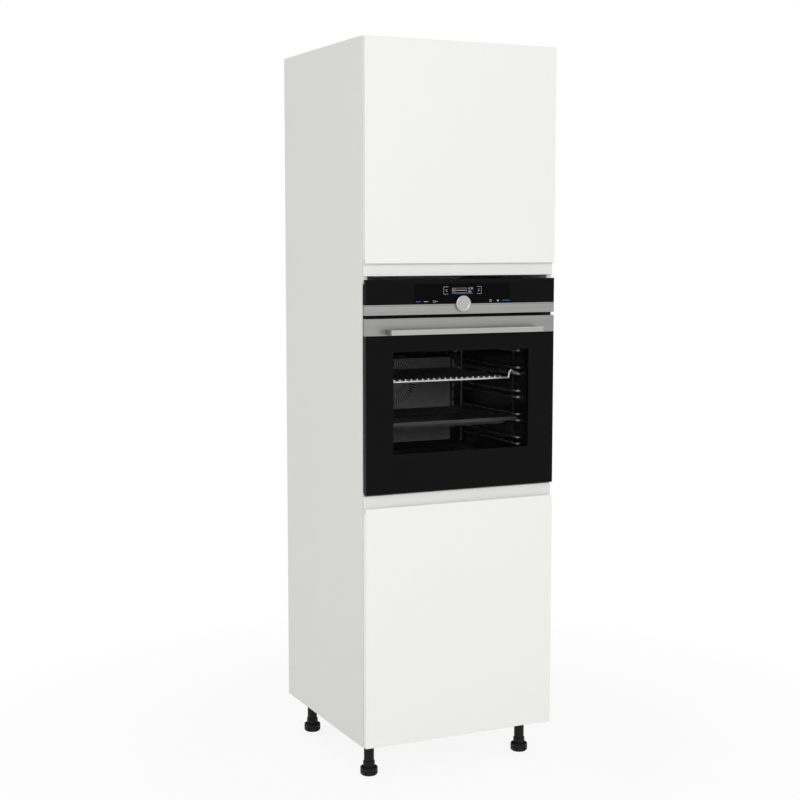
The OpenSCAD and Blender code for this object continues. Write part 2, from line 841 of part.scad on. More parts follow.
// Plate in front of the fan, with two rings of intake slots and louvres down its sides
module fan_cover() {
    stud_in = 14;
    back = fan_cover_y + fan_cover_t;
    high = fan_cover_zs[1] - fan_cover_zs[0];
    louvres = floor((high - 10)/louvre_pitch);
    color("#3A3A3C") placed() {
        difference() {
            along_y(fan_cover_y, back) polygon(round_rect(
                [-fan_cover_x, fan_cover_zs[0]], [fan_cover_x, fan_cover_zs[1]], 3));
            translate([0, 0, fan_z]) for (ring = fan_rings, i = [0:ring[2] - 1])
                rotate([0, i*360/ring[2], 0])
                    box([ring[0], fan_cover_y - 1, -ring[3]/2], [ring[1], back + 1, ring[3]/2]);
        }
        for (side = [-1, 1], z = [fan_cover_zs[0] + stud_in, fan_cover_zs[1] - stud_in])
            rod_y(back, cavity_back, side*(fan_cover_x - stud_in), z, 9);
        for (side = [-1, 1]) {
            box([side*(fan_cover_x - fan_cover_t), fan_cover_y, fan_cover_zs[0] + 3],
                [side*fan_cover_x, back + louvre[1], fan_cover_zs[1] - 3]);
            box([side*(fan_cover_x - fan_cover_t), back + louvre[1], fan_cover_zs[0] + 3],
                [side*(louvre_x + 6), back + louvre[1] + fan_cover_t, fan_cover_zs[1] - 3]);
            for (i = [0:louvres - 1])
                translate([side*louvre_x - louvre[0]/2, back,
                           fan_cover_zs[1] - 10 - louvre[2] - i*louvre_pitch])
                    cube([louvre[0], louvre[1] + 1, louvre[2]]);
        }
    }
}

module fan_wheel() {
    y0 = fan_cover_y + fan_cover_t + 2;
    y1 = cavity_back - 1.4;
    color(bright_colour) placed() {
        rod_y(y1 - 1, y1, 0, fan_z, 2*fan_r);
        rod_y(y0 + 1, y1, 0, fan_z, 20);
        translate([0, 0, fan_z]) for (i = [0:fan_blades - 1]) rotate([0, i*360/fan_blades, 0])
            box([fan_r - fan_blade_l, y0, -sheet/2], [fan_r - 1, y1, sheet/2]);
        rod_y(y1 - 1, cavity_back + fan_shaft_end, 0, fan_z, fan_shaft_d - 2*fit);
    }
}

module fan_motor() {
    y0 = cavity_back + muffle_t;
    color(bright_colour) placed() difference() {
        union() {
            rod_y(y0, y0 + 4, 0, fan_z, motor_plate_d);
            rod_y(y0 + 3, y0 + motor_l, 0, fan_z, motor_d);
        }
        rod_y(y0 - 1, cavity_back + fan_shaft_end + 2, 0, fan_z, fan_shaft_d);
    }
}

// Grill element under the roof of the cavity and ring element round the fan
module heating_elements() {
    grill_z = cavity_top - 16;
    xs = [for (i = [0:grill_runs - 1]) -grill_x + i*2*grill_x/(grill_runs - 1)];
    color("#4A4644") placed() {
        for (x = xs) rod_y(grill_ys[0], grill_ys[1], x, grill_z, heater_d, 12);
        for (i = [0:grill_runs - 2]) rod_x(xs[i], xs[i + 1], grill_ys[i % 2], grill_z, heater_d, 12);
        for (x = [-grill_x, grill_x])
            rod_y(grill_ys[1] - 1, cavity_back, x, grill_z, heater_d, 12);
    }
    color("#4A4644") placed() {
        translate([0, fan_cover_y + 8.5, fan_z]) rotate([90, 0, 0])
            rotate_extrude($fn = 64) translate([ring_heater_r, 0]) circle(d = heater_d);
        for (x = [-12, 12]) rod_y(fan_cover_y + 8.5, cavity_back,
                                  x, fan_z + sqrt(pow(ring_heater_r, 2) - x*x), heater_d - 1, 12);
    }
}

// Wire rack on one side: posts with five pairs of rails
module side_rack(side) {
    posts = [[rack_x, rack_ys[0] + 40], [rail_x - 3, rack_ys[1] - wire_d/2]];
    color(bright_colour) placed() {
        for (post = posts) rod_z(level_z - 30, level_top, side*post[0], post[1], wire_d, 8);
        for (i = [0:level_n - 1], gap = [0, level_gap]) {
            z = level_z + i*level_pitch + gap;
            rod_y(rack_ys[0], rack_ys[1], side*rail_x, z, wire_d, 8);
            rod_x(side*rail_x, side*(cavity_x - slack), rack_ys[0] + wire_d/2, z, wire_d, 8);
        }
        for (post = posts, z = [level_z - 22, level_top - 26])
            rod_x(side*post[0], side*cavity_x, post[1], z, wire_d, 8);
    }
}

module side_rack_left() {
    side_rack(-1);
}

module side_rack_right() {
    side_rack(1);
}

// Deck of the shelf: bars on three cross wires
module wire_shelf() {
    color(bright_colour) placed() {
        for (y = cross_ys) rod_x(-shelf_deck_x, shelf_deck_x, y, deck_z, cross_d, 8);
        for (i = [0:shelf_bars - 1])
            rod_y(shelf_ys[0], shelf_ys[1] - 1, -bar_x + i*2*bar_x/(shelf_bars - 1),
                  deck_z + (cross_d + bar_d - 1)/2, bar_d, 8);
    }
}

// One arm of the shelf through its points, which are given from the runner
module shelf_arm(side, y, points) {
    for (i = [1:len(points) - 1]) rod_between(
        [side*(shelf_x + points[i - 1][0]), y, shelf_wire_z + points[i - 1][1]],
        [side*(shelf_x + points[i][0]), y, shelf_wire_z + points[i][1]], cross_d);
}

// Side wires that slide on the rails, each with bent arms welded to the deck's cross wires
module shelf_runners() {
    color(bright_colour) placed() for (side = [-1, 1]) {
        rod_y(shelf_ys[0], shelf_ys[1], side*shelf_x, shelf_wire_z, shelf_wire_d, 8);
        for (y = cross_ys) shelf_arm(side, y, y == cross_ys[0] ? front_arm : straight_arm);
    }
}

// Outline of the tray's rim, drawn in by an amount
module tray_edge(inset) {
    polygon(round_rect([-tray_x + inset, shelf_ys[0] + inset],
                       [tray_x - inset, shelf_ys[1] - inset], 10 - inset));
}

// Outline of the tray's well, drawn in by an amount
module tray_slab(inset, z) {
    translate([0, 0, z]) linear_extrude(0.2) polygon(round_rect(
        [-tray_x + inset, shelf_ys[0] + inset], [tray_x - inset, shelf_ys[1] - inset], 18));
}

// Sheet tray: a rim with a turned-down edge that rests on the rails, and a well with sloping walls
module baking_tray() {
    z = tray_rim_z;
    color("#3C3C3E") placed() difference() {
        union() {
            translate([0, 0, z]) linear_extrude(tray_t) tray_edge(0);
            translate([0, 0, z - tray_skirt]) linear_extrude(tray_skirt + 0.1) difference() {
                tray_edge(0);
                tray_edge(tray_t);
            }
            hull() {
                tray_slab(tray_in, z);
                tray_slab(tray_in + tray_slope, z - tray_depth);
            }
        }
        hull() {
            tray_slab(tray_in + tray_t, z + tray_t + 0.1);
            tray_slab(tray_in + tray_slope + tray_t, z - tray_depth + tray_t);
        }
    }
}

module lamp_lens() {
    color("#E8E4D8") placed() difference() {
        rod_y(cavity_back - 8, cavity_back, lamp_spot[0], lamp_spot[1], lamp_d);
        rod_y(cavity_back - 9, cavity_back - 6, lamp_spot[0], lamp_spot[1], lamp_d - 8);
    }
}

// Seal round the cavity mouth, on the face plate
module door_seal() {
    color("#3F3F40") placed() difference() {
        along_y(inner_back + seal_gap, face_y) polygon(round_rect(
            [-cavity_x - seal_in - seal_w, cavity_z - seal_in - seal_w],
            [cavity_x + seal_in + seal_w, cavity_top + seal_in + seal_w], muffle_r + seal_w));
        along_y(inner_back - 1, face_y + 1) polygon(round_rect(
            [-cavity_x - seal_in, cavity_z - seal_in],
            [cavity_x + seal_in, cavity_top + seal_in], muffle_r + 2));
    }
}

// Oven door

// Slots in the door's lower edge round the hinge tongues
module hinge_slots() {
    for (side = [-1, 1])
        box([side*hinge_slot_x[0], -oven_face + glass_t, oven_low - 1],
            [side*hinge_slot_x[1], inner_back + 1, oven_low + 28]);
}

// Pan of the door with its rolled lower edge, and the deeper inner frame
module oven_door_frame() {
    front = -oven_face + glass_t;
    color(dark_colour) placed() difference() {
        union() {
            along_x(-oven_x, oven_x) polygon(concat(
                [[oven_door_back, trim_z], [front, trim_z], [front, oven_low]],
                arc([pivot_y, pivot_z], pivot_r, 270, 360, 12)));
            box([-inner_x_half, oven_door_back - 1, inner_low],
                [inner_x_half, inner_back - glass_t, inner_high]);
        }
        box([-oven_x + pan_t, front - 1, oven_low + solid_edge],
            [oven_x - pan_t, oven_door_back - pan_t, trim_z - pan_t]);
        box([-inner_x_half + pan_t, oven_door_back - 2*pan_t, inner_low + solid_edge],
            [inner_x_half - pan_t, inner_back - glass_t - pan_t, inner_high - pan_t]);
        box([-window_x - window_lap, front - 1, window_z - window_lap],
            [window_x + window_lap, inner_back + 1, window_top + window_lap]);
        hinge_slots();
        hinge_pins();
    }
}

module oven_door_glass() {
    small = 1.5;
    color(glass_colour) placed() along_x(-oven_x, oven_x) polygon(concat(
        [[-oven_face, trim_z], [-oven_face, oven_low + small]],
        arc([-oven_face + small, oven_low + small], small, 180, 270, 4),
        [[-oven_face + glass_t, oven_low], [-oven_face + glass_t, trim_z]]));
}

module oven_door_trim() {
    color(steel_colour) placed() difference() {
        along_x(-oven_x, oven_x) polygon(round_rect(
            [-oven_face, trim_z], [oven_door_back, door_high], 1));
        box([-oven_x + 2, -oven_face + 3, trim_z - 1],
            [oven_x - 2, oven_door_back + 1, door_high - 3]);
    }
}

module oven_inner_glass() {
    color("#26262A") placed()
        box([-inner_x_half + 6, inner_back - glass_t, inner_low + 4],
            [inner_x_half - 6, inner_back, inner_high - 4]);
}

module hinge_pins() {
    for (side = [-1, 1])
        rod_x(side*(hinge_slot_x[0] - 8), side*(hinge_slot_x[1] + 8), pivot_y, pivot_z, oven_pin_d);
}

// Pins in the door's lower edge that turn in the tongues
module oven_door_hinges() {
    color(bright_colour) placed() hinge_pins();
}

// Tongues that reach from the face plate to the door's axis
module oven_hinge_tongues() {
    mid = (hinge_slot_x[0] + hinge_slot_x[1])/2;
    eye_r = oven_face - glass_t + pivot_y - 0.4;
    color(plate_colour) placed() for (side = [-1, 1]) difference() {
        union() {
            rod_x(side*(mid - tongue_bar_t/2), side*(mid + tongue_bar_t/2), pivot_y, pivot_z,
                  2*eye_r);
            box([side*(mid - tongue_bar_t/2), pivot_y, pivot_z - 3],
                [side*(mid + tongue_bar_t/2), face_y, pivot_z + 3.5]);
        }
        rod_x(side*(mid - 5), side*(mid + 5), pivot_y, pivot_z, oven_pin_d + 2*fit);
    }
}

// Square bar with a leg at each end
module door_handle() {
    x = handle_x - handle_post_in;
    bar_back = -handle_reach + handle_t;
    color(steel_colour) placed() {
        along_x(-handle_x, handle_x) polygon(round_rect(
            [-handle_reach, handle_z - handle_h/2], [bar_back, handle_z + handle_h/2], 1.5, 4));
        for (side = [-1, 1]) box([side*x, bar_back - 2, handle_z - handle_h/2 + 0.5],
                                 [side*(x - handle_post_w), -oven_face, handle_z + handle_h/2 - 0.5]);
    }
}

// Control panel

module knob_hole() {
    rod_y(-oven_face - 1, -oven_face + panel_t + 1, 0, knob_z, knob_hole_d);
}

module panel_housing() {
    front = -oven_face + panel_t;
    x = oven_x - 3;
    color(dark_colour) placed() difference() {
        box([-x, front, panel_z + 1], [x, -frame_t, panel_top - 0.5]);
        box([-x + housing_t, front + housing_t + 4, panel_z + 1 + housing_t],
            [x - housing_t, 0, panel_top - 0.5 - housing_t]);
        box([-display_w/2 - 6, front - 1, display_zs[0] - 6],
            [display_w/2 + 6, 0, display_zs[1] + 6]);
        rod_y(front - 1, 0, 0, knob_z, knob_hole_d + 8);
    }
}

module panel_fascia() {
    color(glass_colour) placed() difference() {
        box([-oven_x, -oven_face, knob_z], [oven_x, -oven_face + panel_t, panel_top]);
        knob_hole();
    }
}

module panel_trim() {
    color(steel_colour) placed() difference() {
        union() {
            box([-oven_x, -oven_face, panel_z], [oven_x, -oven_face + panel_t, knob_z]);
            for (side = [-1, 1]) box([side*(oven_x - 1.5), -oven_face, panel_z],
                                     [side*oven_x, -frame_t - 0.3, knob_z]);
        }
        knob_hole();
    }
}

module display_module() {
    y0 = -oven_face + panel_t;
    color("#101014") placed()
        box([-display_w/2 - 5, y0, display_zs[0] - 5], [display_w/2 + 5, y0 + 8, display_zs[1] + 5]);
}

module control_knob() {
    grip_t = 2;
    color(bright_colour) placed() {
        rotate([90, 0, 0]) translate([0, knob_z, oven_face + slack]) rotate_extrude($fn = 96)
            polygon(concat([[0, 0], [knob_d/2 - 0.6, 0]],
                           arc([knob_d/2 - grip_t, knob_h - slack - grip_t], grip_t, 0, 90),
                           [[knob_d/2 - 5, knob_h - slack], [knob_d/2 - 6.5, knob_h - slack - 1],
                            [0, knob_h - slack - 1]]));
        rod_y(-oven_face - slack - 1, -oven_face + panel_t + 7, 0, knob_z, knob_shaft_d - 2*fit);
    }
}

module knob_encoder() {
    y0 = -oven_face + panel_t;
    color("#5A5A5C") placed() difference() {
        union() {
            rod_y(y0 - 2, y0 + 2, 0, knob_z, knob_hole_d - 2);
            rod_y(y0 + 1, y0 + 12, 0, knob_z, knob_hole_d + 6);
        }
        rod_y(y0 - 3, y0 + 8, 0, knob_z, knob_shaft_d);
    }
}

side_panel_left();
side_panel_right();
top_panel();
bottom_panel();
niche_floor();
niche_ceiling();
upper_shelf();
lower_shelf();
back_panel_upper();
back_panel_lower();
back_rail();
shelf_pins();
cam_fittings();
wall_brackets();
wood_screws();
leg_sockets();
leg_posts();
foot_front_left();
foot_front_right();
foot_back_left();
foot_back_right();
upper_door();
lower_door();
hinge_plates();
hinge_arms();
upper_hinge_cups();
lower_hinge_cups();
upper_hinge_links();
lower_hinge_links();
door_bumpers();
oven_casing();
oven_base();
oven_rear_cover();
terminal_box();
front_frame();
oven_cavity();
fan_cover();
fan_wheel();
fan_motor();
heating_elements();
side_rack_left();
side_rack_right();
wire_shelf();
shelf_runners();
baking_tray();
lamp_lens();
door_seal();
oven_door_frame();
oven_door_glass();
oven_door_trim();
oven_inner_glass();
oven_door_hinges();
oven_hinge_tongues();
door_handle();
panel_housing();
panel_fascia();
panel_trim();
display_module();
control_knob();
knob_encoder();
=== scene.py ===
import json
import math

import bmesh
import bpy
from mathutils import Matrix, Vector


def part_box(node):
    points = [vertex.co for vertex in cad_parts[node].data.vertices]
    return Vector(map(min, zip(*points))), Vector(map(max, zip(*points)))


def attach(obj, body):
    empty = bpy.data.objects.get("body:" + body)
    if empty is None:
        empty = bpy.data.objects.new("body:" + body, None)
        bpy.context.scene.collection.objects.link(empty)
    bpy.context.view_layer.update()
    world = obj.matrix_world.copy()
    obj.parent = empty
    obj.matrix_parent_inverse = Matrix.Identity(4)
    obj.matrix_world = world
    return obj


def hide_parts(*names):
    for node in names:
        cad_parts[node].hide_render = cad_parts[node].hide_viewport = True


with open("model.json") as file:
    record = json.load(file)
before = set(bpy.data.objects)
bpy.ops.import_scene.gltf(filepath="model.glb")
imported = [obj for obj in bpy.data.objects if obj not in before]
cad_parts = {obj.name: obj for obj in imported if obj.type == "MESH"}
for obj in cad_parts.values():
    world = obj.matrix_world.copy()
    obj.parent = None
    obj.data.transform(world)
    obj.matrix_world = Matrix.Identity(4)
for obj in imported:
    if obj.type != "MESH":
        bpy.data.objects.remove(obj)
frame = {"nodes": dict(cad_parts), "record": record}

bl_info = {
    "name": "Tall Oven Cabinet",
    "version": (1, 0, 0),
    "blender": (4, 5, 0),
    "location": "View3D > Sidebar > Cabinet",
    "description": "Finishes a tall kitchen cabinet with a built-in oven",
    "category": "Object",
}

MM = 0.001

# Places on the CAD's parts that the finishes and small pieces follow
GRIP_HEIGHT = 34.5*MM
HANDLE_BAR_DEPTH = 12.3*MM
WINDOW_SIDE, WINDOW_BELOW, WINDOW_ABOVE = 83.5*MM, 110.5*MM, 46.5*MM
WINDOW_CORNER = 4*MM
GRILLE_RADIUS, PLATE_FACE = 69*MM, 3*MM
TRAY_SKIRT, TRAY_SLOPE, TRAY_RIM = 3*MM, 31*MM, 0.5*MM
LOWEST_RAIL, RAIL_GAP, RAIL_PAIRS = 30*MM, 18.6*MM, 5
BEND_RADIUS = 3.1*MM
MARK_ROW, DISPLAY_MIDDLE = 7.3*MM, 37.5*MM
MARK_FRONT, MARK_BACK = -0.08*MM, 0.3*MM
TOUCH_HALF_WIDTH, TOUCH_BELOW, TOUCH_ABOVE = 152*MM, 2*MM, 13*MM

# How a CAD mesh is merged, flattened, eased and shaded
MERGE_DISTANCE = 0.002*MM
FLAT_ANGLE = math.radians(0.4)
EASED_ANGLE = math.radians(35)
SHARP_ANGLE = math.radians(50)

# Steel darker on the racks' posts by the side walls further in, and scale on the heating rods
DARK_BY_WALLS = (0.02, 0.019, 0.018, 1.0)
SCALED = (0.035, 0.033, 0.032, 1.0)

LIGHT_AIM = (0.0, 0.0, 1.0)


# Shader expressions

class Value:
    """A shader output that takes Python's arithmetic operators."""

    def __init__(self, nodes, socket):
        self.nodes = nodes
        self.socket = socket

    def math(self, operation, *others, flip=False, clamp=False):
        """The result of a Math node on this value and the others."""
        values = [*others, self] if flip else [self, *others]
        settings = {"operation": operation, "use_clamp": clamp}
        return self.nodes.add("Math", settings, dict(enumerate(values)))

    def __add__(self, other):
        return self.math("ADD", other)

    def __sub__(self, other):
        return self.math("SUBTRACT", other)

    def __rsub__(self, other):
        return self.math("SUBTRACT", other, flip=True)

    def __mul__(self, other):
        return self.math("MULTIPLY", other)

    def __gt__(self, other):
        return self.math("GREATER_THAN", other)

    def __lt__(self, other):
        return self.math("LESS_THAN", other)

    __radd__ = __add__
    __rmul__ = __mul__

    def clamped(self):
        """This value held between 0 and 1."""
        return self.math("ADD", 0.0, clamp=True)

    def distance(self, centre):
        """How far this value lies from a fixed one."""
        return (self - centre).math("ABSOLUTE")


class Nodes:
    """A node tree, and the one method that adds a node to it."""

    def __init__(self, tree):
        self.tree = tree

    def put(self, socket, value):
        """Sets a socket to a number or a colour, or links another node's output to it."""
        if isinstance(value, Value):
            self.tree.links.new(value.socket, socket)
        else:
            socket.default_value = value

    def add(self, kind, settings=None, sockets=None, output=0):
        """A new node: its settings first, then its sockets. Gives one output, or all for None."""
        node = self.tree.nodes.new("ShaderNode" + kind)
        for name, value in (settings or {}).items():
            setattr(node, name, value)
        for name, value in (sockets or {}).items():
            self.put(node.inputs[name], value)
        if output is None:
            return [Value(self, socket) for socket in node.outputs]
        return Value(self, node.outputs[output] if node.outputs else None)

    def white_when_seen(self, plain, amount, kind="Emission"):
        """White light mixed over a shader where the camera, a mirror or a glass sees it."""
        seen = self.add("LightPath", output="Is Camera Ray")
        for name in ("Is Glossy Ray", "Is Transmission Ray"):
            seen = seen.math("MAXIMUM", self.add("LightPath", output=name))
        white = self.add(kind, None, {"Color": (1, 1, 1, 1), "Strength": 1.0})
        return self.add("MixShader", None, {0: seen*amount, 1: plain, 2: white})


class Finish(Nodes):
    """A new material with its surface shader."""

    def __init__(self, name, fixed):
        self.material = bpy.data.materials.new(name)
        self.material.use_nodes = True
        super().__init__(self.material.node_tree)
        self.shader = self.tree.nodes["Principled BSDF"]
        for socket, value in fixed.items():
            self.shader.inputs[socket].default_value = value

    def place(self, stretch=(1, 1, 1)):
        """Object coordinates, stretched along each axis."""
        point = self.add("TexCoord", output="Object")
        return self.add("Mapping", {"vector_type": "POINT"}, {"Vector": point, "Scale": stretch})

    def axes(self):
        """The three object coordinates as separate values."""
        return self.add("SeparateXYZ", None, {"Vector": self.place()}, None)

    def noise(self, scale, detail=2.0, stretch=(1, 1, 1)):
        """Soft noise between 0 and 1."""
        return self.add("TexNoise", None, {"Vector": self.place(stretch), "Scale": scale,
                                           "Detail": detail})

    def cells(self, scale, output="Distance", stretch=(1, 1, 1)):
        """A cell pattern: distance to the cells' middles, or their colours."""
        return self.add("TexVoronoi", None, {"Vector": self.place(stretch), "Scale": scale},
                        output)

    def blend(self, factor, first, second):
        """Two colours mixed by a factor."""
        return self.add("Mix", {"data_type": "RGBA"}, {0: factor, 6: first, 7: second}, 2)

    def shade(self, colour, factor):
        """A colour made lighter or darker by a varying factor."""
        grey = self.add("CombineColor", None, {0: factor, 1: factor, 2: factor})
        return self.add("Mix", {"data_type": "RGBA", "blend_type": "MULTIPLY"},
                        {0: 1.0, 6: colour, 7: grey}, 2)

    def wear(self, colour, roughness=None, height=None, depth=0.0, strength=0.0):
        """Feeds the shader's varying sockets and gives back the material."""
        self.put(self.shader.inputs["Base Color"], colour)
        if roughness is not None:
            self.put(self.shader.inputs["Roughness"], roughness)
        if height is not None:
            bump = self.add("Bump", None, {"Height": height, "Distance": depth,
                                           "Strength": strength})
            self.put(self.shader.inputs["Normal"], bump)
        return self.material


def rgba(colour):
    """A colour with its alpha."""
    return (*tuple(colour)[:3], 1.0)


# Finishes

def melamine(name, colour, chip_colour, raw):
    """Foil-faced chipboard with a fine pearl grain, and bare chips where raw(x, y, z) is 1."""
    finish = Finish(name, {"Specular IOR Level": 0.35})
    edge = raw(*finish.axes())
    tone = finish.noise(5.0, 3.0)
    pearl = finish.noise(1400.0, 2.0)
    chips = finish.cells(260.0, "Color", stretch=(1, 1, 0.45))
    chip_tone = finish.add("RGBToBW", None, {"Color": chips})
    face = finish.shade(rgba(colour), tone*0.03 + 0.985)
    bare = finish.shade(rgba(chip_colour), chip_tone*0.7 + 0.5)
    return finish.wear(finish.blend(edge, face, bare), pearl*0.12 + 0.42 + edge*0.3,
                       pearl + edge*chip_tone*4.0, 0.04*MM, 0.35)


def fibreboard(name, colour):
    """Thin lacquered fibreboard with a faint felt of fibres."""
    finish = Finish(name, {"Specular IOR Level": 0.3})
    fibres = finish.noise(420.0, 4.0, (1, 1, 0.25))
    tone = finish.noise(4.0, 2.0)
    return finish.wear(finish.shade(rgba(colour), tone*0.04 + fibres*0.05 + 0.95),
                       fibres*0.15 + 0.5, fibres, 0.05*MM, 0.4)


def lacquer(name, colour, roughness, coat, groove, shade):
    """Sprayed lacquer with a slight orange peel, and painted shade inside the grip groove."""
    finish = Finish(name, {"Coat Roughness": 0.03, "Coat Weight": coat,
                           "Specular IOR Level": 0.4})
    _, _, z = finish.axes()
    low, high = groove
    # Painted shade inside the grip groove, darker by the given share
    inside = (z > low)*(z < high)
    tone = finish.noise(2.5, 2.0)
    peel = finish.noise(190.0, 1.0)
    spread = finish.noise(38.0, 3.0)
    return finish.wear(finish.shade(rgba(colour), (tone*0.02 + 0.99)*(1.0 - inside*shade)),
                       spread*0.05 + roughness, peel, 0.03*MM, 0.12)


def moulded_plastic(name, colour):
    """Black moulded plastic with a fine spark-eroded grain."""
    finish = Finish(name, {"Specular IOR Level": 0.16})
    grain = finish.cells(1700.0)
    scuff = finish.noise(60.0, 4.0)
    rub = (scuff*3.0 - 1.6).clamped()
    return finish.wear(finish.shade(rgba(colour), rub*0.5 + 0.9),
                       scuff*0.2 + 0.4, grain, 0.05*MM, 0.45)


def brushed_steel(name, colour, painted_shade=None):
    """Brushed stainless steel, with its lines from side to side, and with painted shade given as
    a function of x, y and z.
    """
    finish = Finish(name, {"Metallic": 1.0})
    lines = finish.noise(1500.0, 3.0, (0.012, 1, 1))
    streaks = finish.noise(330.0, 4.0, (0.008, 1, 1))
    cloud = finish.noise(3.0, 2.0)
    tone = lines*0.1 + streaks*0.34 + cloud*0.05 + 0.76
    if painted_shade:
        # Painted shade takes off a share of the tone
        tone = tone*(1.0 - painted_shade(*finish.axes()))
    return finish.wear(finish.shade(rgba(colour), tone), streaks*0.12 + 0.3,
                       lines, 0.02*MM, 0.25)


def turned_steel(name, colour, centre):
    """Turned steel: fine rings about the knob's axis."""
    finish = Finish(name, {"Metallic": 1.0})
    x, _, z = finish.axes()
    across, up = x - centre.x, z - centre.z
    radius = (across*across + up*up).math("SQRT")
    rings = finish.add("TexNoise", {"noise_dimensions": "1D"}, {"W": radius, "Scale": 2600.0})
    cloud = finish.noise(25.0, 2.0)
    return finish.wear(finish.shade(rgba(colour), rings*0.12 + cloud*0.06 + 0.9),
                       rings*0.1 + 0.28, rings, 0.02*MM, 0.3)


def plated_steel(name, colour, roughness=0.28, metallic=1.0):
    """Nickel-plated or chromed steel with light handling marks."""
    finish = Finish(name, {"Metallic": metallic})
    marks = finish.noise(55.0, 5.0)
    fine = finish.noise(700.0, 2.0)
    return finish.wear(finish.shade(rgba(colour), marks*0.14 + 0.9),
                       marks*0.18 + roughness - 0.08, fine, 0.01*MM, 0.2)


def oven_wire(name, colour, shaded_colour, front, back, post_x):
    """Chromed wire, bright up to front, with painted shade from back on, darker still beyond
    post_x.
    """
    finish = Finish(name, {"Metallic": 0.6})
    x, y, _ = finish.axes()
    depth = ((y - front)*(1/(back - front))).clamped()
    tarnish_and_shade = finish.noise(40.0, 4.0)
    # Painted shade: the wire blends to a darker colour further into the cavity, where it lies in
    # shade
    tone = finish.blend(depth, rgba(colour), rgba(shaded_colour))
    # Darker still on the posts by the side walls, only where the painted shade lies
    tone = finish.blend(depth*(x.distance(0.0) > post_x), tone, DARK_BY_WALLS)
    return finish.wear(finish.shade(tone, tarnish_and_shade*0.2 + 0.88), tarnish_and_shade*0.1 + depth*0.1 + 0.16,
                       tarnish_and_shade, 0.01*MM, 0.2)


def galvanised(name, colour):
    """Galvanised sheet steel with its zinc spangle."""
    finish = Finish(name, {"Metallic": 1.0})
    spangle = finish.add("RGBToBW", None, {"Color": finish.cells(95.0, "Color")})
    cloud = finish.noise(20.0, 3.0)
    return finish.wear(finish.shade(rgba(colour), spangle*0.22 + cloud*0.1 + 0.78),
                       spangle*0.2 + 0.32, spangle, 0.01*MM, 0.2)


def cavity_enamel(name, colour, floor):
    """Dark glass enamel with fine paler flecks, lighter on the cavity's floor as painted light,
    and rougher there.
    """
    finish = Finish(name, {"Specular IOR Level": 0.2})
    _, _, z = finish.axes()
    # Painted light: three times lighter on the floor, where light falls; the floor is also
    # rougher
    floor_light_and_wear = z < floor
    flecks = finish.cells(430.0) < 0.13
    chosen = finish.noise(260.0, 1.0) > 0.56
    flow = finish.noise(45.0, 2.0)
    tone = (flow*0.3 + 0.85 + flecks*chosen*0.8)*(floor_light_and_wear*2.0 + 1.0)
    return finish.wear(finish.shade(rgba(colour), tone), flow*0.06 + floor_light_and_wear*0.2 + 0.1,
                       flow, 0.15*MM, 0.25)


def fired_enamel(finish, base, painted_light=1.0):
    """Gives a finish the slight flow and grain of grey enamel, times a painted light."""
    flow = finish.noise(45.0, 2.0)
    grain = finish.noise(420.0, 2.0)
    tone = (flow*0.25 + grain*0.12 + 0.8)*painted_light
    return finish.wear(finish.shade(base, tone), flow*0.08 + 0.34, grain, 0.05*MM, 0.25)


def tray_enamel(name, colour, dark):
    """Grey enamel with painted light on the sloping wall under the tray's front edge, darker on
    its skirt, and painted shade inside and on the rim's top.
    """
    finish = Finish(name, {"Specular IOR Level": 0.35})
    _, y, z = finish.axes()
    low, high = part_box("baking_tray")
    # Painted light and shade: the sloping wall keeps the lighter colour, the skirt lies about
    # half way to the dark, and the inside and the rim's top are dark
    skirt = (y < low.y + TRAY_SKIRT)*0.48
    inside = (y > low.y + TRAY_SLOPE).math("MAXIMUM", z > high.z - TRAY_RIM)
    shaded = inside.math("MAXIMUM", skirt)
    return fired_enamel(finish, finish.blend(shaded, rgba(colour), rgba(dark)))


def plate_enamel(name, colour, dark):
    """Grey enamel on the fan plate's face, with painted light on its round grille and towards its
    ends, and painted shade behind the face.
    """
    finish = Finish(name, {"Specular IOR Level": 0.35})
    x, y, z = finish.axes()
    wheel_low, wheel_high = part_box("fan_wheel")
    up = z - (wheel_low.z + wheel_high.z)/2
    # Painted light: the round grille is lighter
    grille = (x*x + up*up).math("SQRT") < GRILLE_RADIUS
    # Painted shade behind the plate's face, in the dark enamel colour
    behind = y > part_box("fan_cover")[0].y + PLATE_FACE
    # Painted light: lighter towards the plate's top and bottom ends, away from the fan's axis
    return fired_enamel(finish, finish.blend(behind, rgba(colour), rgba(dark)),
                        (grille*0.7 + 1.0)*(up.math("ABSOLUTE")*5.0 + 0.85))


def painted_sheet(name, colour):
    """Black powder-coated sheet steel."""
    finish = Finish(name, {"Specular IOR Level": 0.12})
    grain = finish.noise(900.0, 2.0)
    cloud = finish.noise(12.0, 3.0)
    return finish.wear(finish.shade(rgba(colour), cloud*0.3 + 0.85), grain*0.15 + 0.4,
                       grain, 0.04*MM, 0.4)


def heater_rod(name, colour):
    """Heating rod browned by use."""
    finish = Finish(name, {"Metallic": 0.7})
    scale = finish.noise(140.0, 5.0)
    return finish.wear(finish.blend(scale, rgba(colour), SCALED),
                       scale*0.3 + 0.35, scale, 0.1*MM, 0.4)


def braid(name, colour):
    """Woven glass-fibre braid of the door seal."""
    finish = Finish(name, {"Specular IOR Level": 0.2})
    x, _, z = finish.axes()
    warp = ((x + z)*2600.0).math("SINE")
    weft = ((x - z)*2600.0).math("SINE")
    weave = warp*weft*0.5 + 0.5
    return finish.wear(finish.shade(rgba(colour), weave*0.7 + 0.5), weave*0.2 + 0.65,
                       weave, 0.3*MM, 0.6)


def rubber(name, colour):
    """Soft clear rubber of the door bumpers."""
    finish = Finish(name, {"Specular IOR Level": 0.5})
    cloud = finish.noise(300.0, 2.0)
    return finish.wear(finish.shade(rgba(colour), cloud*0.06 + 0.95), cloud*0.1 + 0.3,
                       cloud, 0.02*MM, 0.2)


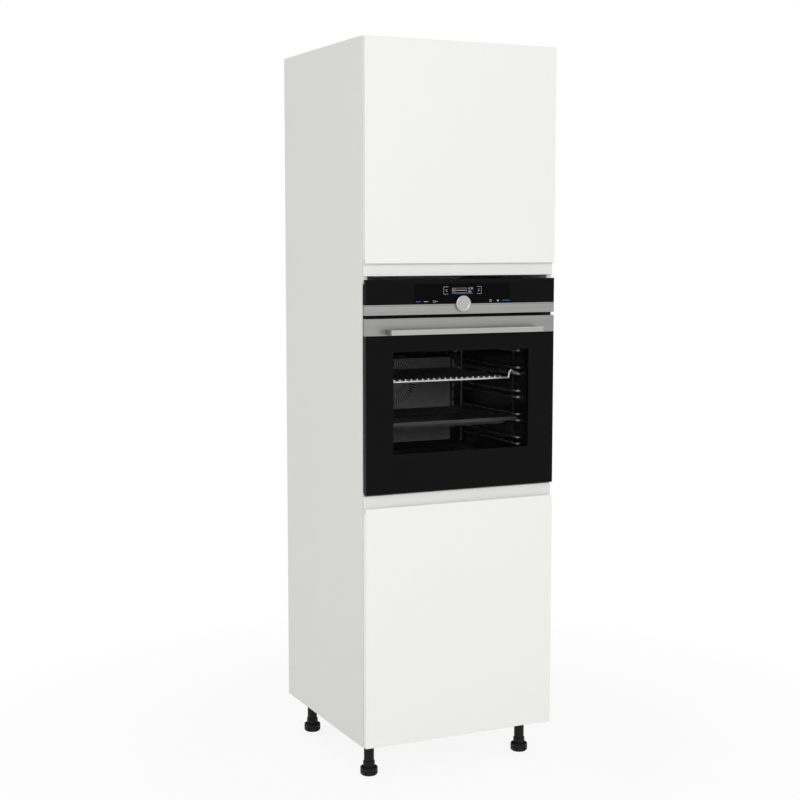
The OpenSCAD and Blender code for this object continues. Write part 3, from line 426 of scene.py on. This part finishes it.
def rounded_field(finish, low, high, corner):
    """One in front of a rectangle with round corners between two places, else zero."""
    x, _, z = finish.axes()
    middle, half = (low + high)/2, (high - low)/2
    across = (x.distance(middle.x) - (half.x - corner)).math("MAXIMUM", 0.0)
    up = (z.distance(middle.z) - (half.z - corner)).math("MAXIMUM", 0.0)
    return (across*across + up*up).math("SQRT") < corner


def door_glass(name, colour, low, high, see_through):
    """Black-backed glass with a clear tinted window between two corners."""
    finish = Finish(name, {"Specular IOR Level": 0.06})
    clear = rounded_field(finish, low, high, WINDOW_CORNER)
    smear = finish.noise(14.0, 4.0)
    backing = finish.shade(rgba(colour), smear*0.25 + 0.88)
    finish.put(finish.shader.inputs["Alpha"], 1.0 - clear*see_through)
    return finish.wear(backing, smear*0.03 + 0.04)


def tinted_glass(name, colour, alpha):
    """Clear heat-reflecting glass."""
    finish = Finish(name, {"Specular IOR Level": 0.1, "Alpha": alpha})
    smear = finish.noise(18.0, 4.0)
    return finish.wear(finish.shade(rgba(colour), smear*0.3 + 0.85), smear*0.05 + 0.04)


def panel_glass(name, colour, touch_colour, low, high):
    """Black glass of the control panel, with a deeper black touch field between two corners."""
    finish = Finish(name, {"Specular IOR Level": 0.03})
    field = rounded_field(finish, low, high, 1*MM)
    smear = finish.noise(16.0, 4.0)
    surface = finish.blend(field, finish.shade(rgba(colour), smear*0.25 + 0.88),
                           rgba(touch_colour))
    return finish.wear(surface, smear*0.04 + 0.05)


def lamp_glass(name, colour):
    """Ribbed glass cap of the oven lamp."""
    finish = Finish(name, {"Specular IOR Level": 0.5, "Alpha": 0.8})
    x, _, _ = finish.axes()
    ribs = (x*2400.0).math("SINE")
    return finish.wear(finish.shade(rgba(colour), ribs*0.1 + 0.85), ribs*0.05 + 0.15,
                       ribs, 0.2*MM, 0.5)


def lit_mark(name, colour, strength):
    """A lit symbol behind the glass, slightly uneven in brightness."""
    finish = Finish(name, {"Emission Strength": strength, "Roughness": 0.4})
    glow = finish.noise(700.0, 2.0)
    finish.put(finish.shader.inputs["Emission Color"],
               finish.shade(rgba(colour), glow*0.3 + 0.85))
    return finish.wear(finish.shade(rgba(colour), glow*0.2 + 0.1))


# Meshes

def slot_of(node):
    """The record's material slot of a CAD node."""
    return next(part["material_slot"] for part in frame["record"]["subparts"]
                if part["node"] == node)


def body_of(node):
    """The moving body that a CAD node belongs to."""
    bodies = frame["record"]["behaviour"]["bodies"]
    return next(body for body, nodes in bodies.items() if node in nodes)


def paint(node, material):
    """Gives a CAD node that stays as it is its finish."""
    piece = frame["nodes"][node]
    if not piece.material_slots:
        piece.data.materials.append(material)
    for slot in piece.material_slots:
        slot.material = material


def add_piece(name, bm, material, body):
    """Makes an object of a bmesh, and lets it ride on a body."""
    bmesh.ops.recalc_face_normals(bm, faces=bm.faces)
    mesh = bpy.data.meshes.new(name)
    bm.to_mesh(mesh)
    bm.free()
    piece = bpy.data.objects.new(name, mesh)
    bpy.context.scene.collection.objects.link(piece)
    mesh.materials.clear()
    mesh.materials.append(material)
    for face in mesh.polygons:
        face.use_smooth = True
    mesh.set_sharp_from_angle(angle=SHARP_ANGLE)
    weight = piece.modifiers.new("weighted_normals", "WEIGHTED_NORMAL")
    weight.keep_sharp = True
    weight.weight = 100
    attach(piece, body)
    return piece


def eased(node, material, width=0.0):
    """Replaces a CAD node by a copy with whole faces, and with eased edges of a width."""
    bm = bmesh.new()
    bm.from_mesh(frame["nodes"][node].data)
    bmesh.ops.remove_doubles(bm, verts=bm.verts, dist=MERGE_DISTANCE)
    bmesh.ops.dissolve_limit(bm, angle_limit=FLAT_ANGLE, verts=bm.verts, edges=bm.edges)
    if width:
        edges = [edge for edge in bm.edges
                 if edge.is_manifold and edge.calc_face_angle(0) > EASED_ANGLE]
        bmesh.ops.bevel(bm, geom=edges, offset=width, offset_type="OFFSET", segments=2,
                        profile=0.5, affect="EDGES", clamp_overlap=True, material=-1)
    for face in bm.faces:
        face.material_index = 0
    piece = add_piece(node + "_eased", bm, material, body_of(node))
    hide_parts(node)


def block(bm, low, high, turn=0.0):
    """Adds a thin block between two corners, turned about its middle in the front plane."""
    low, high = Vector(low), Vector(high)
    made = bmesh.ops.create_cube(bm, size=1.0)["verts"]
    bmesh.ops.scale(bm, vec=high - low, verts=made)
    bmesh.ops.rotate(bm, cent=(0, 0, 0), verts=made,
                     matrix=Matrix.Rotation(math.radians(turn), 3, "Y"))
    bmesh.ops.translate(bm, vec=(low + high)/2, verts=made)


def ring(bm, middle, radius, half_thick):
    """Adds a closed ring in the front plane."""
    made = bmesh.ops.create_circle(bm, segments=4, radius=half_thick)["verts"]
    bmesh.ops.rotate(bm, cent=(0, 0, 0), verts=made, matrix=Matrix.Rotation(math.pi/4, 3, "Z"))
    bmesh.ops.translate(bm, vec=Vector(middle) + Vector((radius, 0, 0)), verts=made)
    edges = list(dict.fromkeys(edge for vert in made for edge in vert.link_edges))
    bmesh.ops.spin(bm, geom=made + edges, cent=middle, axis=(0, 1, 0), angle=math.tau, steps=32,
                   use_merge=True)


def strokes(sign):
    """The bars of a lit figure: left, right, foot and top in mm from its lower left corner."""
    if sign == ":":
        return ((0.3, 0.8, 1.1, 1.6), (0.3, 0.8, 3.2, 3.7))
    bars = {"top": (0.0, 2.8, 4.3, 4.8), "middle": (0.0, 2.8, 2.15, 2.65),
            "foot": (0.0, 2.8, 0.0, 0.5), "upper left": (0.0, 0.5, 2.4, 4.8),
            "upper right": (2.3, 2.8, 2.4, 4.8), "lower left": (0.0, 0.5, 0.0, 2.4),
            "lower right": (2.3, 2.8, 0.0, 2.4)}
    unlit = {"0": ("middle",), "2": ("upper left", "lower right"), "8": (),
             "3": ("upper left", "lower left"),
             "1": ("top", "middle", "foot", "upper left", "lower left")}
    return [bar for name, bar in bars.items() if name not in unlit[sign]]


# Settings

def colour_setting(label, about, value):
    """A colour property."""
    return bpy.props.FloatVectorProperty(name=label, description=about, subtype="COLOR",
                                         size=3, min=0.0, max=1.0, default=value)


def width_setting(label, about, value):
    """A small width property, its default given in millimetres."""
    return bpy.props.FloatProperty(name=label, description=about, subtype="DISTANCE",
                                   precision=5, min=0.0, default=value*MM)


def place_setting(label, about, value):
    """A place property."""
    return bpy.props.FloatVectorProperty(name=label, description=about, subtype="TRANSLATION",
                                         unit="LENGTH", size=3, default=value)


class CabinetColours(bpy.types.PropertyGroup):
    """Colours of the cabinet."""

    board: colour_setting("Boards", "Foil on the cabinet's boards", (0.80, 0.80, 0.79))
    chips: colour_setting("Chips", "Bare chipboard on the rear edges", (0.42, 0.30, 0.19))
    back: colour_setting("Back", "Lacquer on the thin back panels", (0.82, 0.82, 0.80))
    upper_door: colour_setting("Upper door", "Satin lacquer on the upper door",
                               (0.86, 0.86, 0.845))
    lower_door: colour_setting("Lower door", "Gloss lacquer on the lower door",
                               (0.88, 0.88, 0.865))
    legs: colour_setting("Legs", "Plastic of the legs", (0.008, 0.008, 0.0084))
    zinc: colour_setting("Zinc", "Galvanised sheet steel", (0.42, 0.43, 0.44))
    nickel: colour_setting("Nickel", "Nickel-plated hinges and fittings", (0.55, 0.54, 0.52))
    bumpers: colour_setting("Bumpers", "Clear rubber of the door bumpers", (0.85, 0.85, 0.83))


class OvenColours(bpy.types.PropertyGroup):
    """Colours of the oven."""

    glass: colour_setting("Glass", "Black backing of the front glass", (0.0035, 0.0035, 0.0037))
    fascia: colour_setting("Panel glass", "Black backing of the panel", (0.006, 0.006, 0.0062))
    touch: colour_setting("Touch field", "Deeper black round the display",
                          (0.0022, 0.0022, 0.0022))
    strip: colour_setting("Panel strip", "Brushed steel under the panel", (0.33, 0.33, 0.327))
    trim: colour_setting("Door strip", "Brushed steel above the window", (0.305, 0.305, 0.302))
    grip: colour_setting("Handle", "Brushed steel of the handle", (0.44, 0.44, 0.435))
    knob: colour_setting("Knob", "Turned steel of the knob", (0.46, 0.46, 0.455))
    enamel: colour_setting("Enamel", "Dark enamel of the cavity", (0.007, 0.007, 0.0075))
    plate: colour_setting("Fan plate", "Enamel of the plate at the back", (0.16, 0.16, 0.163))
    # The tray's colour is lighter on its sloping front wall as painted light; the next colour is
    # painted shade inside the tray and on its rim's top
    tray: colour_setting("Tray", "Enamel of the baking tray", (0.12, 0.12, 0.122))
    tray_shade: colour_setting("Tray inside", "Enamel inside the tray", (0.016, 0.016, 0.017))
    wire: colour_setting("Wire", "Chromed wire of racks and shelf", (0.93, 0.93, 0.92))
    # Painted shade on the racks and the shelf further into the cavity
    rail_shade: colour_setting("Rails' tarnish", "Racks further in", (0.15, 0.147, 0.143))
    shelf_shade: colour_setting("Shelf's tarnish", "Shelf further in", (0.125, 0.122, 0.118))
    # The bends' near-white, mostly diffuse finish is a painted highlight
    bends: colour_setting("Bends", "Chrome at the rails' front ends", (0.98, 0.98, 0.97))
    fan: colour_setting("Fan wheel", "Steel of the fan wheel", (0.09, 0.09, 0.09))
    motor: colour_setting("Fan motor", "Galvanised sheet of the fan motor", (0.4, 0.4, 0.4))
    heater: colour_setting("Heaters", "Clean metal of the heating rods", (0.07, 0.068, 0.066))
    lamp: colour_setting("Lamp", "Glass cap of the oven lamp", (0.75, 0.72, 0.62))
    seal: colour_setting("Seal", "Braid of the door seal", (0.035, 0.035, 0.035))
    frame: colour_setting("Front frame", "Black coat of the frame", (0.007, 0.007, 0.0072))
    pan: colour_setting("Door pan", "Black coat of pan and housing", (0.005, 0.005, 0.0052))
    inner_glass: colour_setting("Inner glass", "Tint of the inner glass", (0.01, 0.01, 0.01))
    pins: colour_setting("Door pins", "Steel of the door's hinge pins", (0.5, 0.5, 0.5))
    terminals: colour_setting("Terminal box", "Plastic of the terminal box", (0.03, 0.03, 0.03))
    display: colour_setting("Display", "Plastic of the display", (0.01, 0.01, 0.011))
    encoder: colour_setting("Encoder", "Plastic of the knob's encoder", (0.03, 0.03, 0.032))
    mark: colour_setting("Symbols", "Pale lit symbols", (0.62, 0.64, 0.68))
    accent: colour_setting("Accent", "Blue lit symbols", (0.03, 0.17, 0.62))


class EdgeWidths(bpy.types.PropertyGroup):
    """Widths of the eased edges."""

    boards: width_setting("Boards", "Eased edges of the cabinet's boards", 0.4)
    doors: width_setting("Doors", "Eased edges of the cabinet's doors", 0.5)
    legs: width_setting("Legs", "Eased edges of legs and feet", 0.6)
    hinges: width_setting("Hinges", "Eased edges of the doors' hinges", 0.25)
    glass: width_setting("Glass", "Eased edges of the oven's front glass", 0.4)
    strips: width_setting("Strips", "Eased edges of the steel strips and the tray", 0.4)
    handle: width_setting("Handle", "Eased edges of the handle and the panel's housing", 0.5)
    small: width_setting("Small parts", "Eased edges of knob, bumpers and inner glass", 0.3)
    lens: width_setting("Lens", "Eased edges of the lamp's lens", 0.6)
    soft: width_setting("Soft edges", "Eased edges of the seal and the terminal box", 0.8)


class StageSettings(bpy.types.PropertyGroup):
    """Floor, light and camera."""

    key_power: bpy.props.FloatProperty(
        name="Key light", description="Power of the large light in front", unit="POWER",
        default=200.0, min=0.0)
    key_place: place_setting("Key light's place", "Where the large light stands",
                             (-1.2, -7.0, 3.5))
    side_power: bpy.props.FloatProperty(
        name="Side light", description="Power of the light on the left side", unit="POWER",
        default=24.0, min=0.0)
    side_place: place_setting("Side light's place", "Where the side light stands",
                              (-4.2, -0.6, 1.8))
    sky: bpy.props.FloatProperty(
        name="Sky", description="Strength of the even light from all round", default=0.6, min=0.0)
    lens: bpy.props.FloatProperty(
        name="Lens", description="Focal length of the camera", unit="CAMERA", default=67.85,
        min=10.0)
    camera_place: place_setting("Camera", "Where the camera stands",
                                (-1.96067, -4.03725, 1.51424))
    camera_yaw: bpy.props.FloatProperty(
        name="Yaw", description="Camera's turn to the right", subtype="ANGLE", default=0.43946)
    camera_pitch: bpy.props.FloatProperty(
        name="Pitch", description="Camera's tilt upwards", subtype="ANGLE", default=-0.10341)


# Cabinet

class CABINET_OT_boards(bpy.types.Operator):
    """Finish the boards and the back panels"""

    bl_idname = "cabinet.boards"
    bl_label = "Boards"

    def execute(self, context):
        colours = context.scene.cabinet_colours
        width = context.scene.edge_widths.boards
        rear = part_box("side_panel_left")[1].y - 0.1*MM
        foil = melamine("board_foil", colours.board, colours.chips, lambda x, y, z: y > rear)
        for node in ("side_panel_left", "side_panel_right", "top_panel", "bottom_panel",
                     "niche_floor", "niche_ceiling", "upper_shelf", "lower_shelf"):
            eased(node, foil, width)
        low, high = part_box("back_rail")
        middle, reach = (low.z + high.z)/2, (high.z - low.z)/2 - 0.1*MM
        eased("back_rail", melamine("rail_foil", colours.board, colours.chips,
                                    lambda x, y, z: z.distance(middle) > reach), width)
        lacquered = fibreboard("back_lacquer", colours.back)
        for node in ("back_panel_upper", "back_panel_lower"):
            paint(node, lacquered)
        return {"FINISHED"}


class CABINET_OT_doors(bpy.types.Operator):
    """Finish the two doors and their bumpers"""

    bl_idname = "cabinet.doors"
    bl_label = "Doors"

    def execute(self, context):
        colours = context.scene.cabinet_colours
        widths = context.scene.edge_widths
        foot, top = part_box("upper_door")[0].z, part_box("lower_door")[1].z
        # Both doors get painted shade inside their grip grooves
        satin = lacquer("satin_lacquer", colours.upper_door, roughness=0.34, coat=0.12,
                        groove=(foot, foot + GRIP_HEIGHT), shade=0.07)
        gloss = lacquer("gloss_lacquer", colours.lower_door, roughness=0.2, coat=1.0,
                        groove=(top - GRIP_HEIGHT, top), shade=0.13)
        eased("upper_door", satin, widths.doors)
        eased("lower_door", gloss, widths.doors)
        eased("door_bumpers", rubber("bumper_rubber", colours.bumpers), widths.small)
        return {"FINISHED"}


class CABINET_OT_legs(bpy.types.Operator):
    """Finish the legs and their feet"""

    bl_idname = "cabinet.legs"
    bl_label = "Legs"

    def execute(self, context):
        plastic = moulded_plastic("leg_plastic", context.scene.cabinet_colours.legs)
        for node in ("leg_sockets", "leg_posts", "foot_front_left", "foot_front_right",
                     "foot_back_left", "foot_back_right"):
            eased(node, plastic, context.scene.edge_widths.legs)
        return {"FINISHED"}


class CABINET_OT_fittings(bpy.types.Operator):
    """Finish the hinges, pins, cams, brackets and screws"""

    bl_idname = "cabinet.fittings"
    bl_label = "Fittings"

    def execute(self, context):
        colours = context.scene.cabinet_colours
        nickel = plated_steel("hinge_nickel", colours.nickel)
        for node in ("hinge_plates", "hinge_arms", "upper_hinge_cups", "lower_hinge_cups",
                     "upper_hinge_links", "lower_hinge_links"):
            eased(node, nickel, context.scene.edge_widths.hinges)
        zinc = galvanised("fitting_zinc", colours.zinc)
        for node in ("shelf_pins", "cam_fittings", "wall_brackets", "wood_screws"):
            eased(node, zinc)
        return {"FINISHED"}


# Oven

class CABINET_OT_oven_body(bpy.types.Operator):
    """Finish the oven's casing, frame and rear"""

    bl_idname = "cabinet.oven_body"
    bl_label = "Oven body"

    def execute(self, context):
        colours = context.scene.oven_colours
        zinc = galvanised("casing_zinc", context.scene.cabinet_colours.zinc)
        for node in ("oven_casing", "oven_base", "oven_rear_cover", "oven_hinge_tongues"):
            eased(node, zinc)
        eased("front_frame", painted_sheet("frame_black", colours.frame))
        eased("terminal_box", moulded_plastic("terminal_plastic", colours.terminals),
              context.scene.edge_widths.soft)
        return {"FINISHED"}


class CABINET_OT_oven_inside(bpy.types.Operator):
    """Finish the cavity and all that is in it"""

    bl_idname = "cabinet.oven_inside"
    bl_label = "Oven inside"

    def execute(self, context):
        colours = context.scene.oven_colours
        widths = context.scene.edge_widths
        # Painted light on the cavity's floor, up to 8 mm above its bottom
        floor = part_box("oven_cavity")[0].z + 8*MM
        eased("oven_cavity", cavity_enamel("cavity_enamel", colours.enamel, floor))
        # The tray gets painted light on its front wall and painted shade inside
        eased("baking_tray", tray_enamel("tray_enamel", colours.tray, colours.tray_shade),
              widths.strips)
        # The fan plate takes the cavity's enamel as painted shade behind its face
        eased("fan_cover", plate_enamel("plate_enamel", colours.plate, colours.enamel))
        low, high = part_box("side_rack_right")
        bright_end, shade_from, posts = low.y + 6*MM, low.y + 32*MM, high.x - 6*MM
        # Painted shade on the racks' wire further in
        racks = oven_wire("rack_wire", colours.wire, colours.rail_shade, bright_end,
                          shade_from, posts)
        for node in ("side_rack_left", "side_rack_right"):
            eased(node, racks)
        # Painted highlight: the bends get a near-white, mostly diffuse finish so that they show
        # bright
        self.add_bends(low, high, plated_steel("bend_painted_highlight", colours.bends, roughness=0.2,
                                               metallic=0.15))
        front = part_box("wire_shelf")[0].y
        bright_end, shade_from = front + 7*MM, front + 16*MM
        # Painted shade on the shelf's wire further in
        wires = oven_wire("shelf_wire", colours.wire, colours.shelf_shade, bright_end,
                          shade_from, high.x)
        for node in ("wire_shelf", "shelf_runners"):
            eased(node, wires)
        eased("fan_wheel", plated_steel("fan_steel", colours.fan, roughness=0.4))
        eased("fan_motor", galvanised("motor_zinc", colours.motor))
        eased("heating_elements", heater_rod("heater_rod", colours.heater))
        eased("lamp_lens", lamp_glass("lamp_glass", colours.lamp), widths.lens)
        eased("door_seal", braid("seal_braid", colours.seal), widths.soft)
        return {"FINISHED"}

    def add_bends(self, low, high, material):
        """Round bends where each rail turns into the wall."""
        lowest = low.z + LOWEST_RAIL
        step = (high.z - RAIL_GAP - lowest)/(RAIL_PAIRS - 1)
        across, front = high.x - 7.2*MM, low.y + 2.7*MM
        heights = [lowest + level*step + gap for level in range(RAIL_PAIRS)
                   for gap in (0.0, RAIL_GAP)]
        bm = bmesh.new()
        for side in (-1, 1):
            for height in heights:
                bend = bmesh.ops.create_uvsphere(bm, u_segments=12, v_segments=8,
                                                 radius=BEND_RADIUS)["verts"]
                bmesh.ops.scale(bm, vec=(1.5, 1.2, 0.95), verts=bend)
                bmesh.ops.translate(bm, vec=(side*across, front, height), verts=bend)
        add_piece("rack_bends", bm, material, body_of("side_rack_right"))


class CABINET_OT_oven_door(bpy.types.Operator):
    """Finish the oven's door and handle"""

    bl_idname = "cabinet.oven_door"
    bl_label = "Oven door"

    def execute(self, context):
        colours = context.scene.oven_colours
        widths = context.scene.edge_widths
        low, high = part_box("oven_door_glass")
        window_low = low + Vector((WINDOW_SIDE, 0, WINDOW_BELOW))
        window_high = high - Vector((WINDOW_SIDE, 0, WINDOW_ABOVE))
        eased("oven_door_glass", door_glass("front_glass", colours.glass, window_low,
                                            window_high, see_through=0.96), widths.glass)
        eased("oven_inner_glass", tinted_glass("inner_glass", colours.inner_glass, alpha=0.05),
              widths.small)
        eased("oven_door_frame", painted_sheet("door_pan_black", colours.pan))
        eased("oven_door_trim", brushed_steel("door_strip_steel", colours.trim), widths.strips)
        # Painted reflection: the handle's posts behind the bar are half as bright, for the dark
        # they mirror
        bar_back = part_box("door_handle")[0].y + HANDLE_BAR_DEPTH
        eased("door_handle", brushed_steel("handle_steel", colours.grip,
                                           lambda x, y, z: (y > bar_back)*0.5), widths.handle)
        paint("oven_door_hinges", plated_steel("pin_steel", colours.pins))
        return {"FINISHED"}


class CABINET_OT_control_panel(bpy.types.Operator):
    """Finish the control panel and its knob"""

    bl_idname = "cabinet.control_panel"
    bl_label = "Control panel"

    def execute(self, context):
        colours = context.scene.oven_colours
        widths = context.scene.edge_widths
        low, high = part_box("panel_fascia")
        touch_low = Vector((-TOUCH_HALF_WIDTH, low.y, low.z + TOUCH_BELOW))
        touch_high = Vector((TOUCH_HALF_WIDTH, high.y, high.z - TOUCH_ABOVE))
        eased("panel_fascia", panel_glass("fascia_glass", colours.fascia, colours.touch,
                                          touch_low, touch_high), widths.glass)
        # Painted shade of a fine groove along the strip, 3.4 mm below its top edge
        line, half_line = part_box("panel_trim")[1].z - 3.4*MM, 0.8*MM
        eased("panel_trim", brushed_steel(
            "panel_strip_steel", colours.strip,
            lambda x, y, z: (z.distance(line) < half_line)*0.3), widths.strips)
        eased("panel_housing", painted_sheet("housing_black", colours.pan), widths.handle)
        paint("display_module", moulded_plastic("display_plastic", colours.display))
        paint("knob_encoder", moulded_plastic("encoder_plastic", colours.encoder))
        knob_low, knob_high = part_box("control_knob")
        eased("control_knob", turned_steel("knob_steel", colours.knob,
                                           (knob_low + knob_high)/2), widths.small)
        return {"FINISHED"}


class CABINET_OT_panel_marks(bpy.types.Operator):
    """Add the lit symbols behind the panel's glass"""

    bl_idname = "cabinet.panel_marks"
    bl_label = "Panel symbols"

    def execute(self, context):
        colours = context.scene.oven_colours
        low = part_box("panel_fascia")[0]
        self.front = low.y
        row, middle = low.z + MARK_ROW, low.z + DISPLAY_MIDDLE
        body, slot = body_of("panel_fascia"), slot_of("panel_fascia")

        pale = bmesh.new()
        self.add_brackets(pale, middle)
        self.add_display(pale, middle)
        self.add_row(pale, row)
        add_piece("panel_marks_pale", pale, lit_mark("pale_mark", colours.mark, strength=0.75),
                  body)

        blue = bmesh.new()
        for x in (-145.3, -141.6, -137.9, -134.2):
            self.bar(blue, row, x, x + 2.8, -0.75, 0.75)
        for x in (126.9, 131.0, 135.1, 139.2, 143.3, 147.4):
            self.bar(blue, row, x, x + 3.1, -0.75, 0.75)
        self.bar(blue, middle, -33, 33, -9.6, -8.6)
        self.bar(blue, middle, 15, 33, 0.3, 0.8)
        add_piece("panel_marks_blue", blue, lit_mark("blue_mark", colours.accent, strength=0.85),
                  body)
        return {"FINISHED"}

    def bar(self, bm, base, x0, x1, z0, z1, turn=0.0):
        """A bar in the glass, in millimetres from the panel's middle and a base height."""
        block(bm, (x0*MM, self.front + MARK_FRONT, base + z0*MM),
              (x1*MM, self.front + MARK_BACK, base + z1*MM), turn)

    def ring(self, bm, base, x, radius, half_thick):
        """A ring in the glass, placed as a bar is."""
        centre = self.front + (MARK_FRONT + MARK_BACK)/2
        ring(bm, (x*MM, centre, base), radius*MM, half_thick*MM)

    def add_brackets(self, bm, middle):
        """A bracket with an arrow in it on each side of the display."""
        back, open_end, half_height, arrow = 59.4, 45, 10.3, 50.6
        for side in (-1, 1):
            self.bar(bm, middle, side*back - 0.25, side*back + 0.25, -half_height, half_height)
            x0, x1 = sorted((side*back, side*open_end))
            for z in (-half_height, half_height - 0.5):
                self.bar(bm, middle, x0, x1, z, z + 0.5)
            for tilt in (-1, 1):
                self.bar(bm, middle + tilt*1.9*MM, side*arrow - 0.3, side*arrow + 0.3, -3.5, 3.5,
                         side*tilt*-57)

    def add_display(self, bm, middle):
        """The display's frame with a round sign and a line of text in it, and its figures."""
        for z in (-6.4, 6.0):
            self.bar(bm, middle, -33, 12.3, z, z + 0.4)
        for x in (-33, -23.4, 11.9):
            self.bar(bm, middle, x, x + 0.4, -6.4, 6.4)
        self.ring(bm, middle, -28, 2.6, 0.38)
        self.bar(bm, middle, -28.3, -27.7, -1.5, 1.5)
        for x in (-20, -15, -10, -5, 0, 5):
            self.bar(bm, middle, x, x + 3.6, -0.7, 0.7)
        for text, foot in (("12:30", 2.8), ("180", -6.6)):
            x = 16.0
            for sign in text:
                for x0, x1, z0, z1 in strokes(sign):
                    self.bar(bm, middle, x + x0, x + x1, foot + z0, foot + z1)
                x += 1.8 if sign == ":" else 3.9

    def add_row(self, bm, row):
        """The signs under the display: dashes, a key, a dial and an arrow head."""
        for x in (-120.7, -117.2, -113.7, -110.2):
            self.bar(bm, row, x, x + 2.5, -0.65, 0.65)
        for key in ((-92, -91.5, -3, 3), (-86, -85.5, -3, 3), (-92, -85.5, 2.5, 3),
                    (-92, -85.5, -3, -2.5), (-84, -78, -0.4, 0.4)):
            self.bar(bm, row, *key)
        self.bar(bm, row, 89.1, 89.5, 0, 1.9)
        self.bar(bm, row, 89.3, 90.8, -0.2, 0.2)
        self.ring(bm, row, 89.3, 3.1, 0.42)
        arrow = bmesh.ops.create_cone(bm, cap_ends=True, segments=3, radius1=3.4*MM,
                                      radius2=3.4*MM, depth=MARK_BACK - MARK_FRONT)["verts"]
        for turn, axis in ((math.pi/2, "X"), (-math.pi/2, "Y")):
            bmesh.ops.rotate(bm, cent=(0, 0, 0), verts=arrow,
                             matrix=Matrix.Rotation(turn, 3, axis))
        centre = self.front + (MARK_FRONT + MARK_BACK)/2
        bmesh.ops.translate(bm, vec=(112.8*MM, centre, row), verts=arrow)


# Stage

def soft_light(name, place, size, power):
    """A large area light aimed at the cabinet."""
    lamp = bpy.data.lights.new(name, "AREA")
    lamp.shape = "RECTANGLE"
    lamp.size, lamp.size_y = size
    lamp.energy = power
    light = bpy.data.objects.new(name, lamp)
    light.location = place
    ahead = Vector(LIGHT_AIM) - Vector(place)
    light.rotation_euler = ahead.to_track_quat("-Z", "Y").to_euler()
    bpy.context.scene.collection.objects.link(light)


class CABINET_OT_stage(bpy.types.Operator):
    """Add the floor, the light and the camera"""

    bl_idname = "cabinet.stage"
    bl_label = "Stage"

    def execute(self, context):
        settings = context.scene.stage_settings
        self.add_floor()
        self.add_sky(context, settings)
        soft_light("key_light", settings.key_place, size=(4.5, 4.0), power=settings.key_power)
        soft_light("side_light", settings.side_place, size=(2.5, 3.0), power=settings.side_power)
        self.add_camera(context, settings)
        context.scene.view_settings.view_transform = "Standard"
        return {"FINISHED"}

    def add_floor(self):
        """A wide pale floor that shows white and keeps the shadow."""
        finish = Finish("floor_white", {"Base Color": (0.86, 0.86, 0.86, 1.0), "Roughness": 0.9,
                                        "Specular IOR Level": 0.1})
        x, y, _ = finish.axes()
        reach = (x*x + y*y).math("SQRT")
        shadow_radius, fade, near_white = 0.7, 0.12, 0.88
        further = ((reach - shadow_radius)*fade).clamped()
        amount = further.math("MINIMUM", 1.0 - near_white) + near_white
        plain = Value(finish, finish.shader.outputs["BSDF"])
        out = finish.tree.nodes["Material Output"]
        finish.put(out.inputs["Surface"], finish.white_when_seen(plain, amount))
        bm = bmesh.new()
        bmesh.ops.create_grid(bm, x_segments=2, y_segments=2, size=40.0)
        mesh = bpy.data.meshes.new("floor")
        bm.to_mesh(mesh)
        bm.free()
        mesh.materials.append(finish.material)
        floor = bpy.data.objects.new("floor", mesh)
        bpy.context.scene.collection.objects.link(floor)

    def add_sky(self, context, settings):
        """An even grey light that shows as white."""
        world = bpy.data.worlds.new("studio")
        world.use_nodes = True
        sky = Nodes(world.node_tree)
        sky.tree.nodes.clear()
        even = sky.add("Background", None, {"Color": (1, 1, 1, 1), "Strength": settings.sky})
        sky.add("OutputWorld", None,
                {"Surface": sky.white_when_seen(even, 1.0, "Background")})
        context.scene.world = world

    def add_camera(self, context, settings):
        """A camera at the photograph's viewing angle."""
        lens = bpy.data.cameras.new("camera")
        lens.lens = settings.lens
        lens.sensor_width = 36.0
        camera = bpy.data.objects.new("camera", lens)
        yaw, pitch = settings.camera_yaw, settings.camera_pitch
        ahead = Vector((math.sin(yaw)*math.cos(pitch), math.cos(yaw)*math.cos(pitch),
                        math.sin(pitch)))
        camera.location = settings.camera_place
        camera.rotation_euler = ahead.to_track_quat("-Z", "Y").to_euler()
        context.scene.collection.objects.link(camera)
        context.scene.camera = camera


class CABINET_PT_steps(bpy.types.Panel):
    """Steps that finish the cabinet"""

    bl_label = "Tall Oven Cabinet"
    bl_space_type = "VIEW_3D"
    bl_region_type = "UI"
    bl_category = "Cabinet"

    def draw(self, context):
        for operator in OPERATORS:
            self.layout.operator(operator.bl_idname)


SETTINGS = {
    "cabinet_colours": CabinetColours,
    "oven_colours": OvenColours,
    "edge_widths": EdgeWidths,
    "stage_settings": StageSettings,
}
OPERATORS = (
    CABINET_OT_stage, CABINET_OT_boards, CABINET_OT_doors, CABINET_OT_legs,
    CABINET_OT_fittings, CABINET_OT_oven_body, CABINET_OT_oven_inside, CABINET_OT_oven_door,
    CABINET_OT_control_panel, CABINET_OT_panel_marks,
)


def register():
    for name, group in SETTINGS.items():
        bpy.utils.register_class(group)
        setattr(bpy.types.Scene, name, bpy.props.PointerProperty(type=group))
    for item in (*OPERATORS, CABINET_PT_steps):
        bpy.utils.register_class(item)


def unregister():
    for item in (CABINET_PT_steps, *reversed(OPERATORS)):
        bpy.utils.unregister_class(item)
    for name, group in reversed(SETTINGS.items()):
        delattr(bpy.types.Scene, name)
        bpy.utils.unregister_class(group)


def main():
    """Finishes the whole cabinet."""
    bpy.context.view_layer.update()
    register()
    bpy.ops.cabinet.stage()
    bpy.ops.cabinet.boards()
    bpy.ops.cabinet.doors()
    bpy.ops.cabinet.legs()
    bpy.ops.cabinet.fittings()
    bpy.ops.cabinet.oven_body()
    bpy.ops.cabinet.oven_inside()
    bpy.ops.cabinet.oven_door()
    bpy.ops.cabinet.control_panel()
    bpy.ops.cabinet.panel_marks()


if __name__ == "__main__":
    main()
